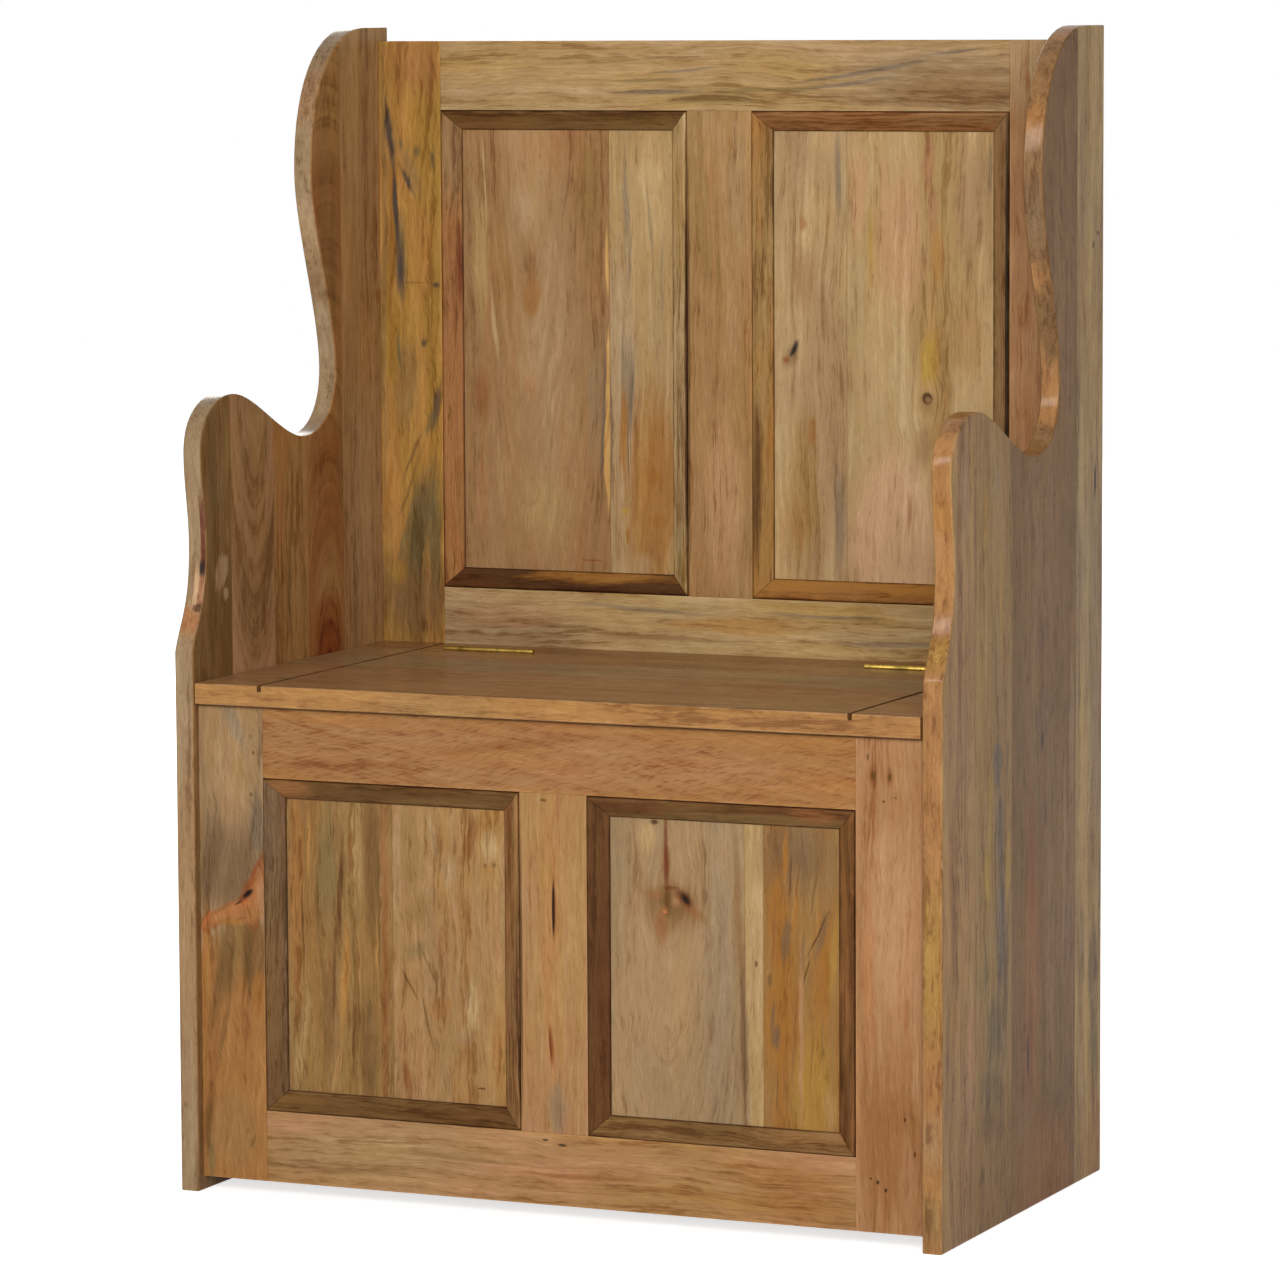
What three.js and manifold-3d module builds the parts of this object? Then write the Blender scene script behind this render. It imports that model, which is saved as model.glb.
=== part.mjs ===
// Settle bench with a lift-up seat over a chest, in millimetres
// +Z is up, the bench faces -Y, and the origin is on the floor under its middle

import * as THREE from 'three';
import { mergeVertices } from 'three/addons/utils/BufferGeometryUtils.js';
import Module from 'manifold-3d';

const wasm = await Module();
wasm.setup();

// Driving sizes of the bench
const benchWidth = 800;
const seatHeight = 503;

// Stock sizes of the boards and frames
const endBoardThickness = 20;
const seatThickness = 21;
const frameThickness = 22;
const frameMemberWidth = 70;
const panelThickness = 7;
const edgeEase = 1.6;

// Clearances between pieces
const glueLine = 0.1;
const fitGap = 0.3;
const lidRestGap = 0.3;
const lidSideGap = 2;
const cutOverrun = 2;

// End board outline: each height from the place before it, upwards from the seat
const shoulderRise = 29;
const waistRise = 104;
const noseRise = 88;
const armRise = 55;
const dipDrop = 52;
const throatRise = 65;
const wingRise = 200;
const crownRise = 143;

// End board outline: setbacks from the front edge, then each run from the place before it
const waistSetback = 31;
const noseSetback = 22;
const armRun = 68;
const dipRun = 156;
const throatRun = 69;
const wingOverhang = 51;
const crownRun = 122;
const crownFlat = 54;

// Shares of each stretch's rise or run that its curve handles take
const quarterRoundShare = 0.6;
const shoulderLeanShare = 0.35;
const armSlopeShare = 0.3;
const wingSlopeShare = 0.27;
const noseSlopeShare = 0.35;
const outlineSteps = 14;
const easeSteps = 2;

// Frames
const frameLift = 14;
const frontFrameSetback = 10;
const backFrameDrop = 14;
const seatRailWidth = 100;
const seatRailShow = 58;
const grooveDepth = 8;
const panelSetback = 10.5;
const tenonLength = 30;
const tenonShoulder = 12;

// Bevelled mouldings round the panels
const mouldingWidth = 20;
const mouldingProud = 2;
const mouldingInnerEdge = 1.2;
const mouldingLipWidth = 5;
const mouldingLipDrop = 3.2;
const mouldingLipFall = 1;
const mitreGap = 0.15;
const lipSteps = 5;

// Chest floor and cleats
const floorThickness = 12;
const floorCleatSize = 20;
const floorCleatRise = 10;
const seatCleatSize = 20;

// Seat lid and the fixed strip behind it
const seatStripDepth = 60;
const lidJointGap = 1;
const seatGrooveInset = 72;
const seatGrooveWidth = 4.4;
const seatGrooveDepth = 6.5;
const grooveSteps = 10;

// Butt hinges
const hingeLength = 100;
const hingeInset = 99;
const hingeRise = 1.2;
const hingeLeafDepth = 18;
const hingeLeafThickness = 1.5;
const hingeLeafGap = 0.6;
const knuckleCount = 5;
const knuckleRadius = 3;
const knuckleGap = 0.3;
const knuckleRunningGap = 0.4;
const hingePinRadius = 1.5;
const hingePinClearance = 0.1;
const roundSides = 32;

// Countersunk hinge screws
const screwCount = 3;
const screwPitch = 34;
const screwLength = 15;
const screwShankRadius = 1.6;
const screwHeadRadius = 3.1;
const screwHeadDepth = 1.4;
const screwTipLength = 3;
const screwSink = 0.1;
const screwClearance = 0.2;
const screwSlotWidth = 0.9;
const screwSlotDepth = 0.8;
const screwSides = 18;

// Places on the end board outline: heights above the floor, setbacks from the front edge
const shoulderHeight = seatHeight + shoulderRise;
const waistHeight = shoulderHeight + waistRise;
const noseHeight = waistHeight + noseRise;
const armHeight = noseHeight + armRise;
const dipHeight = armHeight - dipDrop;
const throatHeight = dipHeight + throatRise;
const wingHeight = throatHeight + wingRise;
const benchHeight = wingHeight + crownRise;
const armSetback = noseSetback + armRun;
const dipSetback = armSetback + dipRun;
const throatSetback = dipSetback + throatRun;
const wingSetback = throatSetback - wingOverhang;
const crownSetback = wingSetback + crownRun;
const benchDepth = crownSetback + crownFlat;

// Places worked out from the sizes above
const insideHalf = benchWidth / 2 - endBoardThickness;
const frontEdge = -benchDepth / 2;
const backEdge = benchDepth / 2;
const frontFrameFace = frontEdge + frontFrameSetback;
const frontFrameBack = frontFrameFace + frameThickness;
const backFrameFace = backEdge - frameThickness;
const seatUnderside = seatHeight - seatThickness;
const lidRestHeight = seatUnderside - lidRestGap;
const hingeLineY = backFrameFace - seatStripDepth;
const hingeLineZ = seatHeight + hingeRise;
const hingeCentre = insideHalf - hingeInset - hingeLength / 2;
const leafOffset = hingeLeafGap / 2;
const leafBack = leafOffset + hingeLeafThickness;
const screwDrop = (hingeLeafDepth + knuckleRadius) / 2;
const hingeBoreRadius = hingePinRadius + hingePinClearance;

// Colours of the wood and the brass
const goldenTan = 0xa8814f;
const warmBrown = 0x96703f;
const pinkTan = 0xae8258;
const greyTan = 0x8f7650;
const oliveBrown = 0x7d6138;
const darkBrown = 0x5d4023;
const seatBrown = 0x7e5c3a;
const paleInside = 0xb08f62;
const brassYellow = 0xb9a258;

const xAxis = new THREE.Vector3(1, 0, 0);
const yAxis = new THREE.Vector3(0, 1, 0);
const zAxis = new THREE.Vector3(0, 0, 1);

// Wood and brass materials, one for each piece
function wood(name, colour) {
  return new THREE.MeshStandardMaterial({ name, color: colour, roughness: 0.5, metalness: 0 });
}

function brass(name) {
  return new THREE.MeshStandardMaterial({ name, color: brassYellow, roughness: 0.3, metalness: 1 });
}

function piece(name, geometry, material) {
  const mesh = new THREE.Mesh(geometry, material);
  mesh.name = name;
  return mesh;
}

function woodPiece(name, geometry, colour) {
  return piece(name, geometry, wood(name, colour));
}

function brassPiece(name, geometry) {
  return piece(name, geometry, brass(name));
}

// A closed solid from a geometry, for cutting and joining
function toSolid(geometry) {
  const bare = geometry.clone();
  bare.deleteAttribute('normal');
  bare.deleteAttribute('uv');
  const merged = mergeVertices(bare);
  const vertProperties = new Float32Array(merged.attributes.position.array);
  const triVerts = new Uint32Array(merged.index.array);
  return new wasm.Manifold(new wasm.Mesh({ numProp: 3, vertProperties, triVerts }));
}

// A geometry with flat faces from a closed solid
function toGeometry(solid) {
  const mesh = solid.getMesh();
  const indexed = new THREE.BufferGeometry();
  indexed.setAttribute('position', new THREE.BufferAttribute(mesh.vertProperties, mesh.numProp));
  indexed.setIndex(new THREE.BufferAttribute(mesh.triVerts, 1));
  const geometry = indexed.toNonIndexed();
  geometry.computeVertexNormals();
  return geometry;
}

function joined(solids) {
  return solids.reduce((sum, solid) => sum.add(solid));
}

function cutAll(solid, cutters) {
  return cutters.reduce((rest, cutter) => rest.subtract(cutter), solid);
}

// A box between two ends on each axis
function block(x, y, z) {
  const geometry = new THREE.BoxGeometry(x[1] - x[0], y[1] - y[0], z[1] - z[0]);
  geometry.translate((x[0] + x[1]) / 2, (y[0] + y[1]) / 2, (z[0] + z[1]) / 2);
  return geometry;
}

function blockSolid(x, y, z) {
  return toSolid(block(x, y, z));
}

// A cylinder along X, centred between two ends
function rodAlongX(radius, x) {
  const geometry = new THREE.CylinderGeometry(radius, radius, x[1] - x[0], roundSides);
  geometry.rotateZ(Math.PI / 2);
  geometry.translate((x[0] + x[1]) / 2, 0, 0);
  return geometry;
}

// A flat board with its long edges eased, between two ends on each axis
function easedBoard(x, y, z) {
  const outline = new THREE.Shape();
  outline.moveTo(x[0], y[0]);
  outline.lineTo(x[1], y[0]);
  outline.lineTo(x[1], y[1]);
  outline.lineTo(x[0], y[1]);
  outline.closePath();
  const geometry = new THREE.ExtrudeGeometry(outline, easedExtrusion(z[1] - z[0], 1));
  geometry.translate(0, 0, z[0] + edgeEase);
  return geometry;
}

function easedExtrusion(thickness, curveSegments) {
  return {
    depth: thickness - 2 * edgeEase,
    bevelEnabled: true,
    bevelThickness: edgeEase,
    bevelSize: edgeEase,
    bevelOffset: -edgeEase,
    bevelSegments: easeSteps,
    curveSegments,
  };
}

// The shaped outline of an end board, drawn with Y across and Z up
// Its points are where the edge runs upright or level, joined by smooth curves
function endBoardOutline() {
  const shoulder = { y: frontEdge, z: shoulderHeight };
  const waist = { y: frontEdge + waistSetback, z: waistHeight };
  const nose = { y: frontEdge + noseSetback, z: noseHeight };
  const arm = { y: frontEdge + armSetback, z: armHeight };
  const dip = { y: frontEdge + dipSetback, z: dipHeight };
  const throat = { y: frontEdge + throatSetback, z: throatHeight };
  const wing = { y: frontEdge + wingSetback, z: wingHeight };
  const crown = { y: frontEdge + crownSetback, z: benchHeight };

  const outline = new THREE.Shape();
  outline.moveTo(frontEdge, 0);
  outline.lineTo(shoulder.y, shoulder.z);
  const shoulderRise = waist.z - shoulder.z;
  const shoulderLean = (waist.y - shoulder.y) * shoulderLeanShare;
  outline.bezierCurveTo(
    shoulder.y + shoulderLean, shoulder.z + shoulderRise * armSlopeShare,
    waist.y, waist.z - shoulderRise * quarterRoundShare,
    waist.y, waist.z,
  );
  uprightToUpright(outline, waist, nose, noseSlopeShare);
  uprightToLevel(outline, nose, arm);
  levelToLevel(outline, arm, dip, armSlopeShare);
  levelToUpright(outline, dip, throat);
  uprightToUpright(outline, throat, wing, wingSlopeShare);
  uprightToLevel(outline, wing, crown);
  outline.lineTo(backEdge, benchHeight);
  outline.lineTo(backEdge, 0);
  outline.closePath();
  return outline;
}

function uprightToUpright(outline, start, end, handleShare) {
  const rise = (end.z - start.z) * handleShare;
  outline.bezierCurveTo(start.y, start.z + rise, end.y, end.z - rise, end.y, end.z);
}

function levelToLevel(outline, start, end, handleShare) {
  const run = (end.y - start.y) * handleShare;
  outline.bezierCurveTo(start.y + run, start.z, end.y - run, end.z, end.y, end.z);
}

function uprightToLevel(outline, start, end) {
  const rise = (end.z - start.z) * quarterRoundShare;
  const run = (end.y - start.y) * quarterRoundShare;
  outline.bezierCurveTo(start.y, start.z + rise, end.y - run, end.z, end.y, end.z);
}

function levelToUpright(outline, start, end) {
  const rise = (end.z - start.z) * quarterRoundShare;
  const run = (end.y - start.y) * quarterRoundShare;
  outline.bezierCurveTo(start.y + run, start.z, end.y, end.z - rise, end.y, end.z);
}

function endBoard(side) {
  const geometry = new THREE.ExtrudeGeometry(
    endBoardOutline(),
    easedExtrusion(endBoardThickness, outlineSteps),
  );
  geometry.translate(0, 0, edgeEase - endBoardThickness / 2);
  geometry.applyMatrix4(new THREE.Matrix4().makeBasis(yAxis, zAxis, xAxis));
  const name = side < 0 ? 'left_end_board' : 'right_end_board';
  const board = woodPiece(name, geometry, side < 0 ? warmBrown : greyTan);
  board.position.x = side * (insideHalf + endBoardThickness / 2);
  return board;
}

// Frames are drawn with their face at Y zero and their thickness behind it
const frameHalf = insideHalf - glueLine;
const openingHalf = frameHalf - frameMemberWidth;
const muntinHalf = frameMemberWidth / 2;
const grooveSpan = [panelSetback - fitGap, panelSetback + panelThickness + fitGap];
const tenonSpan = [panelSetback, panelSetback + panelThickness];
const frameSpan = [0, frameThickness];

function stile(frame, side) {
  const inner = side * openingHalf;
  const outer = side * frameHalf;
  const across = (from, to) => [Math.min(from, to), Math.max(from, to)];
  const body = blockSolid(across(inner, outer), frameSpan, [frame.bottom, frame.top]);
  const grooves = frame.bays.map((bay) => blockSolid(
    across(inner - side * cutOverrun, inner + side * grooveDepth),
    grooveSpan,
    [bay.bottom - grooveDepth, bay.top + grooveDepth],
  ));
  const mortises = frame.rails.map((rail) => blockSolid(
    across(inner - side * cutOverrun, inner + side * (tenonLength + fitGap)),
    grooveSpan,
    [rail.bottom + tenonShoulder - fitGap, rail.top - tenonShoulder + fitGap],
  ));
  return toGeometry(cutAll(body, [...grooves, ...mortises]));
}

function rail(frame, member) {
  const bodyHalf = openingHalf - glueLine;
  const body = blockSolid([-bodyHalf, bodyHalf], frameSpan, [member.bottom, member.top]);
  const tenonHalf = openingHalf + tenonLength;
  const tenonHeight = [member.bottom + tenonShoulder, member.top - tenonShoulder];
  const tenons = blockSolid([-tenonHalf, tenonHalf], tenonSpan, tenonHeight);
  const grooveEnds = [-openingHalf - cutOverrun, openingHalf + cutOverrun];
  const grooves = frame.bays
    .filter((bay) => bay.bottom === member.top || bay.top === member.bottom)
    .map((bay) => blockSolid(grooveEnds, grooveSpan, bay.bottom === member.top
      ? [member.top - grooveDepth, member.top + cutOverrun]
      : [member.bottom - cutOverrun, member.bottom + grooveDepth]));
  return toGeometry(cutAll(body.add(tenons), grooves));
}

function muntin(bay) {
  const body = blockSolid([-muntinHalf, muntinHalf], frameSpan, [bay.bottom + glueLine, bay.top - glueLine]);
  const stubHeight = [bay.bottom - grooveDepth + fitGap, bay.top + grooveDepth - fitGap];
  const stubs = blockSolid([-muntinHalf, muntinHalf], tenonSpan, stubHeight);
  const grooveHeight = [stubHeight[0] - cutOverrun, stubHeight[1] + cutOverrun];
  const grooves = [-1, 1].map((side) => {
    const edges = [side * (muntinHalf + cutOverrun), side * (muntinHalf - grooveDepth)];
    return blockSolid([Math.min(...edges), Math.max(...edges)], grooveSpan, grooveHeight);
  });
  return toGeometry(cutAll(body.add(stubs), grooves));
}

function panel(opening) {
  const reach = grooveDepth - fitGap;
  return block(
    [opening.left - reach, opening.right + reach],
    tenonSpan,
    [opening.bottom - reach, opening.top + reach],
  );
}

// Cross-section of a moulding: inward across, towards the viewer up
function mouldingSection() {
  const height = panelSetback + mouldingProud - glueLine;
  const lipFoot = height - mouldingLipDrop;
  const bevelTop = height - mouldingLipFall;
  const section = new THREE.Shape();
  section.moveTo(0, 0);
  section.lineTo(mouldingWidth, 0);
  section.lineTo(mouldingWidth, mouldingInnerEdge);
  section.lineTo(mouldingLipWidth, bevelTop);
  section.bezierCurveTo(
    mouldingLipWidth * (1 - quarterRoundShare), height + mouldingLipFall * quarterRoundShare,
    0, height - mouldingLipFall,
    0, lipFoot,
  );
  section.closePath();
  return section;
}

// One moulding, its ends mitred at 45 degrees, along Z from its outer corner
function mitredMoulding(length) {
  const geometry = new THREE.ExtrudeGeometry(mouldingSection(), {
    depth: 1,
    bevelEnabled: false,
    curveSegments: lipSteps,
  });
  const position = geometry.attributes.position;
  for (let index = 0; index < position.count; index += 1) {
    const mitre = position.getX(index) + mitreGap;
    const along = mitre + position.getZ(index) * (length - 2 * mitre);
    position.setZ(index, along);
  }
  geometry.computeVertexNormals();
  return geometry;
}

// The four sides of an opening, each with its start corner, its run and its inward way
function openingSides(opening) {
  const inset = fitGap;
  const left = opening.left + inset;
  const right = opening.right - inset;
  const bottom = opening.bottom + inset;
  const top = opening.top - inset;
  return [
    { name: 'bottom', corner: [left, bottom], length: right - left, inward: [0, 1] },
    { name: 'right', corner: [right, bottom], length: top - bottom, inward: [-1, 0] },
    { name: 'top', corner: [right, top], length: right - left, inward: [0, -1] },
    { name: 'left', corner: [left, top], length: top - bottom, inward: [1, 0] },
  ];
}

function mouldings(opening, colours) {
  return openingSides(opening).map((side) => {
    const inward = new THREE.Vector3(side.inward[0], 0, side.inward[1]);
    const forward = yAxis.clone().negate();
    const along = new THREE.Vector3().crossVectors(inward, forward);
    const placed = new THREE.Matrix4().makeBasis(inward, forward, along);
    placed.setPosition(side.corner[0], panelSetback - glueLine, side.corner[1]);
    const name = `${opening.name}_moulding_${side.name}`;
    const moulding = woodPiece(name, mitredMoulding(side.length), colours[side.name]);
    moulding.applyMatrix4(placed);
    return moulding;
  });
}

// The openings of a bay: two beside a muntin, or one without it
function bayOpenings(bay) {
  const widths = bay.muntin
    ? [[-openingHalf, -muntinHalf], [muntinHalf, openingHalf]]
    : [[-openingHalf, openingHalf]];
  return widths.map(([left, right], index) => ({
    name: bay.panels[index],
    left,
    right,
    bottom: bay.bottom,
    top: bay.top,
  }));
}

function panelledFrame(frame) {
  const group = new THREE.Group();
  group.position.y = frame.face;
  group.add(woodPiece(`${frame.name}_left_stile`, stile(frame, -1), frame.colours.leftStile));
  group.add(woodPiece(`${frame.name}_right_stile`, stile(frame, 1), frame.colours.rightStile));
  frame.rails.forEach((member) => {
    group.add(woodPiece(`${frame.name}_${member.name}`, rail(frame, member), member.colour));
  });
  frame.bays.forEach((bay) => {
    if (bay.muntin) {
      group.add(woodPiece(bay.muntin, muntin(bay), frame.colours.muntin));
    }
    bayOpenings(bay).forEach((opening, index) => {
      group.add(woodPiece(opening.name, panel(opening), bay.panelColours[index]));
      if (bay.mouldingColours) {
        group.add(...mouldings(opening, bay.mouldingColours[index]));
      }
    });
  });
  return group;
}

// Front of the chest: two panels in mouldings under the lid
const frontRailTop = frameLift + frameMemberWidth;
const frontTopRailBottom = lidRestHeight - frameMemberWidth;
const frontFrame = {
  name: 'front',
  face: frontFrameFace,
  bottom: frameLift,
  top: lidRestHeight,
  colours: { leftStile: greyTan, rightStile: pinkTan, muntin: pinkTan },
  rails: [
    { name: 'bottom_rail', bottom: frameLift, top: frontRailTop, colour: goldenTan },
    { name: 'top_rail', bottom: frontTopRailBottom, top: lidRestHeight, colour: pinkTan },
  ],
  bays: [{
    bottom: frontRailTop,
    top: frontTopRailBottom,
    muntin: 'front_muntin',
    panels: ['front_left_panel', 'front_right_panel'],
    panelColours: [warmBrown, goldenTan],
    mouldingColours: [
      { left: oliveBrown, right: oliveBrown, top: darkBrown, bottom: darkBrown },
      { left: darkBrown, right: darkBrown, top: oliveBrown, bottom: oliveBrown },
    ],
  }],
};

// Back of the bench: two tall panels over the seat and a plain one behind the chest
const backTop = benchHeight - backFrameDrop;
const backTopRailBottom = backTop - frameMemberWidth;
const seatRailTop = seatHeight + seatRailShow;
const seatRailBottom = seatRailTop - seatRailWidth;
const backFrame = {
  name: 'back',
  face: backFrameFace,
  bottom: frameLift,
  top: backTop,
  colours: { leftStile: goldenTan, rightStile: pinkTan, muntin: goldenTan },
  rails: [
    { name: 'bottom_rail', bottom: frameLift, top: frontRailTop, colour: goldenTan },
    { name: 'seat_rail', bottom: seatRailBottom, top: seatRailTop, colour: greyTan },
    { name: 'top_rail', bottom: backTopRailBottom, top: backTop, colour: warmBrown },
  ],
  bays: [
    {
      bottom: frontRailTop,
      top: seatRailBottom,
      muntin: null,
      panels: ['back_lower_panel'],
      panelColours: [paleInside],
      mouldingColours: null,
    },
    {
      bottom: seatRailTop,
      top: backTopRailBottom,
      muntin: 'back_muntin',
      panels: ['back_left_panel', 'back_right_panel'],
      panelColours: [warmBrown, goldenTan],
      mouldingColours: [
        { left: warmBrown, right: goldenTan, top: darkBrown, bottom: oliveBrown },
        { left: goldenTan, right: oliveBrown, top: warmBrown, bottom: goldenTan },
      ],
    },
  ],
};

// Chest floor on two long cleats, and the cleats that carry the seat
function chestFloor() {
  const group = new THREE.Group();
  const cleatBottom = frameLift + floorCleatRise;
  const cleatTop = cleatBottom + floorCleatSize;
  const floorBottom = cleatTop + glueLine;
  const reach = insideHalf - glueLine;
  const front = frontFrameBack + glueLine;
  const back = backFrameFace - glueLine;
  const cleatHeight = [cleatBottom, cleatTop];
  group.add(
    woodPiece(
      'chest_floor',
      block([-reach, reach], [front, back], [floorBottom, floorBottom + floorThickness]),
      paleInside,
    ),
    woodPiece(
      'floor_cleat_front',
      block([-reach, reach], [front, front + floorCleatSize], cleatHeight),
      paleInside,
    ),
    woodPiece(
      'floor_cleat_back',
      block([-reach, reach], [back - floorCleatSize, back], cleatHeight),
      paleInside,
    ),
  );
  return group;
}

function seatCleat(side) {
  const name = side < 0 ? 'seat_cleat_left' : 'seat_cleat_right';
  const length = [frontFrameBack + glueLine, backFrameFace - glueLine];
  const half = seatCleatSize / 2;
  const cleat = woodPiece(
    name,
    block([-half, half], length, [lidRestHeight - seatCleatSize, lidRestHeight]),
    paleInside,
  );
  cleat.position.x = side * (insideHalf - glueLine - half);
  return cleat;
}

// Seat boards, drawn from the hinge line: X along the pin, Y back, Z up
const seatSpan = [-hingeRise - seatThickness, -hingeRise];

// A round-bottomed groove from front to back across a seat board
function seatGroove(x, y) {
  const radius = seatGrooveWidth / 2;
  const arcCentre = radius - seatGrooveDepth;
  const section = new THREE.Shape();
  section.moveTo(-radius, cutOverrun);
  section.lineTo(-radius, arcCentre);
  section.absarc(0, arcCentre, radius, Math.PI, 2 * Math.PI, false);
  section.lineTo(radius, cutOverrun);
  section.closePath();
  const length = y[1] - y[0] + 2 * cutOverrun;
  const geometry = new THREE.ExtrudeGeometry(section, {
    depth: length,
    bevelEnabled: false,
    curveSegments: grooveSteps,
  });
  geometry.applyMatrix4(new THREE.Matrix4().makeBasis(xAxis, zAxis, yAxis.clone().negate()));
  geometry.translate(x, y[1] + cutOverrun, -hingeRise);
  return toSolid(geometry);
}

function seatGrooves(y) {
  const x = insideHalf - seatGrooveInset;
  return [seatGroove(-x, y), seatGroove(x, y)];
}

// Room for one hinge leaf, its knuckles and its screws, on the lid side or the strip side
function hingeRoom(side, centre) {
  const half = hingeLength / 2 + fitGap;
  const back = side * (leafBack + glueLine);
  const mortise = blockSolid(
    [-half, half],
    [Math.min(0, back), Math.max(0, back)],
    [-hingeLeafDepth - fitGap, 0],
  );
  const channel = toSolid(rodAlongX(knuckleRadius + knuckleRunningGap, [-half, half]));
  const screwRooms = screwPlaces(side).map((place) => screwSolid(side, place, screwClearance));
  return joined([mortise, channel, ...screwRooms]).translate([centre, 0, 0]);
}

function hingeRooms(side) {
  return [hingeRoom(side, -hingeCentre), hingeRoom(side, hingeCentre)];
}

function seatLid() {
  const half = insideHalf - lidSideGap;
  const y = [frontEdge - hingeLineY, -lidJointGap / 2];
  const board = toSolid(easedBoard([-half, half], y, seatSpan));
  return woodPiece('seat_lid', toGeometry(cutAll(board, [...seatGrooves(y), ...hingeRooms(-1)])), seatBrown);
}

function seatStrip() {
  const half = insideHalf - glueLine;
  const y = [lidJointGap / 2, seatStripDepth - glueLine];
  const board = toSolid(easedBoard([-half, half], y, seatSpan));
  return woodPiece('seat_strip', toGeometry(cutAll(board, [...seatGrooves(y), ...hingeRooms(1)])), seatBrown);
}

// Screws stand with their heads at the leaf's face and their points in the wood
function screwPlaces(side) {
  const first = -screwPitch * (screwCount - 1) / 2;
  return Array.from({ length: screwCount }, (unused, index) => new THREE.Vector3(
    first + index * screwPitch,
    side * leafOffset,
    -screwDrop,
  ));
}

function screwBody(growth) {
  const head = -screwSink + growth;
  const shank = screwShankRadius + growth;
  const tip = -screwLength - growth;
  const profile = [
    new THREE.Vector2(0, tip),
    new THREE.Vector2(shank, tip + screwTipLength),
    new THREE.Vector2(shank, -screwSink - screwHeadDepth),
    new THREE.Vector2(screwHeadRadius + growth, -screwSink),
    new THREE.Vector2(screwHeadRadius + growth, head),
    new THREE.Vector2(0, head),
  ];
  const points = growth > 0 ? profile : profile.filter((point, index) => index !== profile.length - 2);
  return new THREE.LatheGeometry(points, screwSides);
}

function screwSolid(side, place, growth) {
  const geometry = screwBody(growth);
  if (side > 0) {
    geometry.rotateX(Math.PI);
  }
  geometry.translate(place.x, place.y, place.z);
  return toSolid(geometry);
}

function slottedScrew(name) {
  const slot = blockSolid(
    [-screwSlotWidth / 2, screwSlotWidth / 2],
    [-screwSink - screwSlotDepth, cutOverrun],
    [-screwHeadRadius - cutOverrun, screwHeadRadius + cutOverrun],
  );
  return brassPiece(name, toGeometry(toSolid(screwBody(0)).subtract(slot)));
}

// One hinge leaf: a plate with every other knuckle, cut clear of its partner's knuckles
function hingeLeaf(name, side) {
  const half = hingeLength / 2;
  const knuckleLength = hingeLength / knuckleCount;
  const near = side * leafOffset;
  const far = side * leafBack;
  const plate = blockSolid([-half, half], [Math.min(near, far), Math.max(near, far)], [-hingeLeafDepth, 0]);
  const knuckles = Array.from({ length: knuckleCount }, (unused, index) => {
    const start = -half + index * knuckleLength;
    return { own: (index % 2 === 0) === (side > 0), start, end: start + knuckleLength };
  });
  const rings = knuckles.filter((knuckle) => knuckle.own).map((knuckle) => toSolid(rodAlongX(
    knuckleRadius,
    [knuckle.start + knuckleGap / 2, knuckle.end - knuckleGap / 2],
  )));
  const partnerRoom = knuckles.filter((knuckle) => !knuckle.own).map((knuckle) => toSolid(rodAlongX(
    knuckleRadius + knuckleRunningGap,
    [knuckle.start - knuckleGap / 2, knuckle.end + knuckleGap / 2],
  )));
  const bore = toSolid(rodAlongX(hingeBoreRadius, [-half - cutOverrun, half + cutOverrun]));
  const screwRooms = screwPlaces(side).map((place) => screwSolid(side, place, screwClearance));
  const cleared = cutAll(plate, [...partnerRoom, ...screwRooms]);
  return brassPiece(name, toGeometry(joined([cleared, ...rings]).subtract(bore)));
}

function hingePin(name) {
  const half = hingeLength / 2;
  return brassPiece(name, rodAlongX(hingePinRadius, [-half, half]));
}

// The leaf and screws of one side of one hinge, and the pin with the fixed side
function hingeHalf(hand, side) {
  const group = new THREE.Group();
  group.position.x = (hand === 'left' ? -1 : 1) * hingeCentre;
  const part = side < 0 ? 'lid' : 'fixed';
  group.add(hingeLeaf(`${hand}_hinge_${part}_leaf`, side));
  screwPlaces(side).forEach((place, index) => {
    const screw = slottedScrew(`${hand}_hinge_${part}_screw_${index + 1}`);
    screw.position.copy(place);
    screw.rotation.x = side > 0 ? Math.PI : 0;
    group.add(screw);
  });
  if (side > 0) {
    group.add(hingePin(`${hand}_hinge_pin`));
  }
  return group;
}

// The moving lid and the fixed strip share the hinge line
function seatGroup(side, board) {
  const group = new THREE.Group();
  group.position.set(0, hingeLineY, hingeLineZ);
  group.add(board, hingeHalf('left', side), hingeHalf('right', side));
  return group;
}

const group = new THREE.Group();
group.add(
  endBoard(-1),
  endBoard(1),
  panelledFrame(frontFrame),
  panelledFrame(backFrame),
  chestFloor(),
  seatCleat(-1),
  seatCleat(1),
  seatGroup(1, seatStrip()),
  seatGroup(-1, seatLid()),
);

export default group;
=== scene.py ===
"""Looks of the settle bench: lacquered mango wood, brass, stage, light and camera.

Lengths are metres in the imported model's frame: X along the bench, Y to the back, Z up.
Every wooden piece is painted in its own grain directions, so places on a piece are
given as (across the grain, along the grain).

PAST_EDGE is a place or a size beyond every piece. NOISE_MIDDLE is the mean of smooth
noise, and NOISE_ROUGH is how strong its finer layers are where nothing else is said.
"""

import logging
import math
from dataclasses import dataclass, field
from enum import Enum

import bpy
from mathutils import Matrix, Vector


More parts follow.
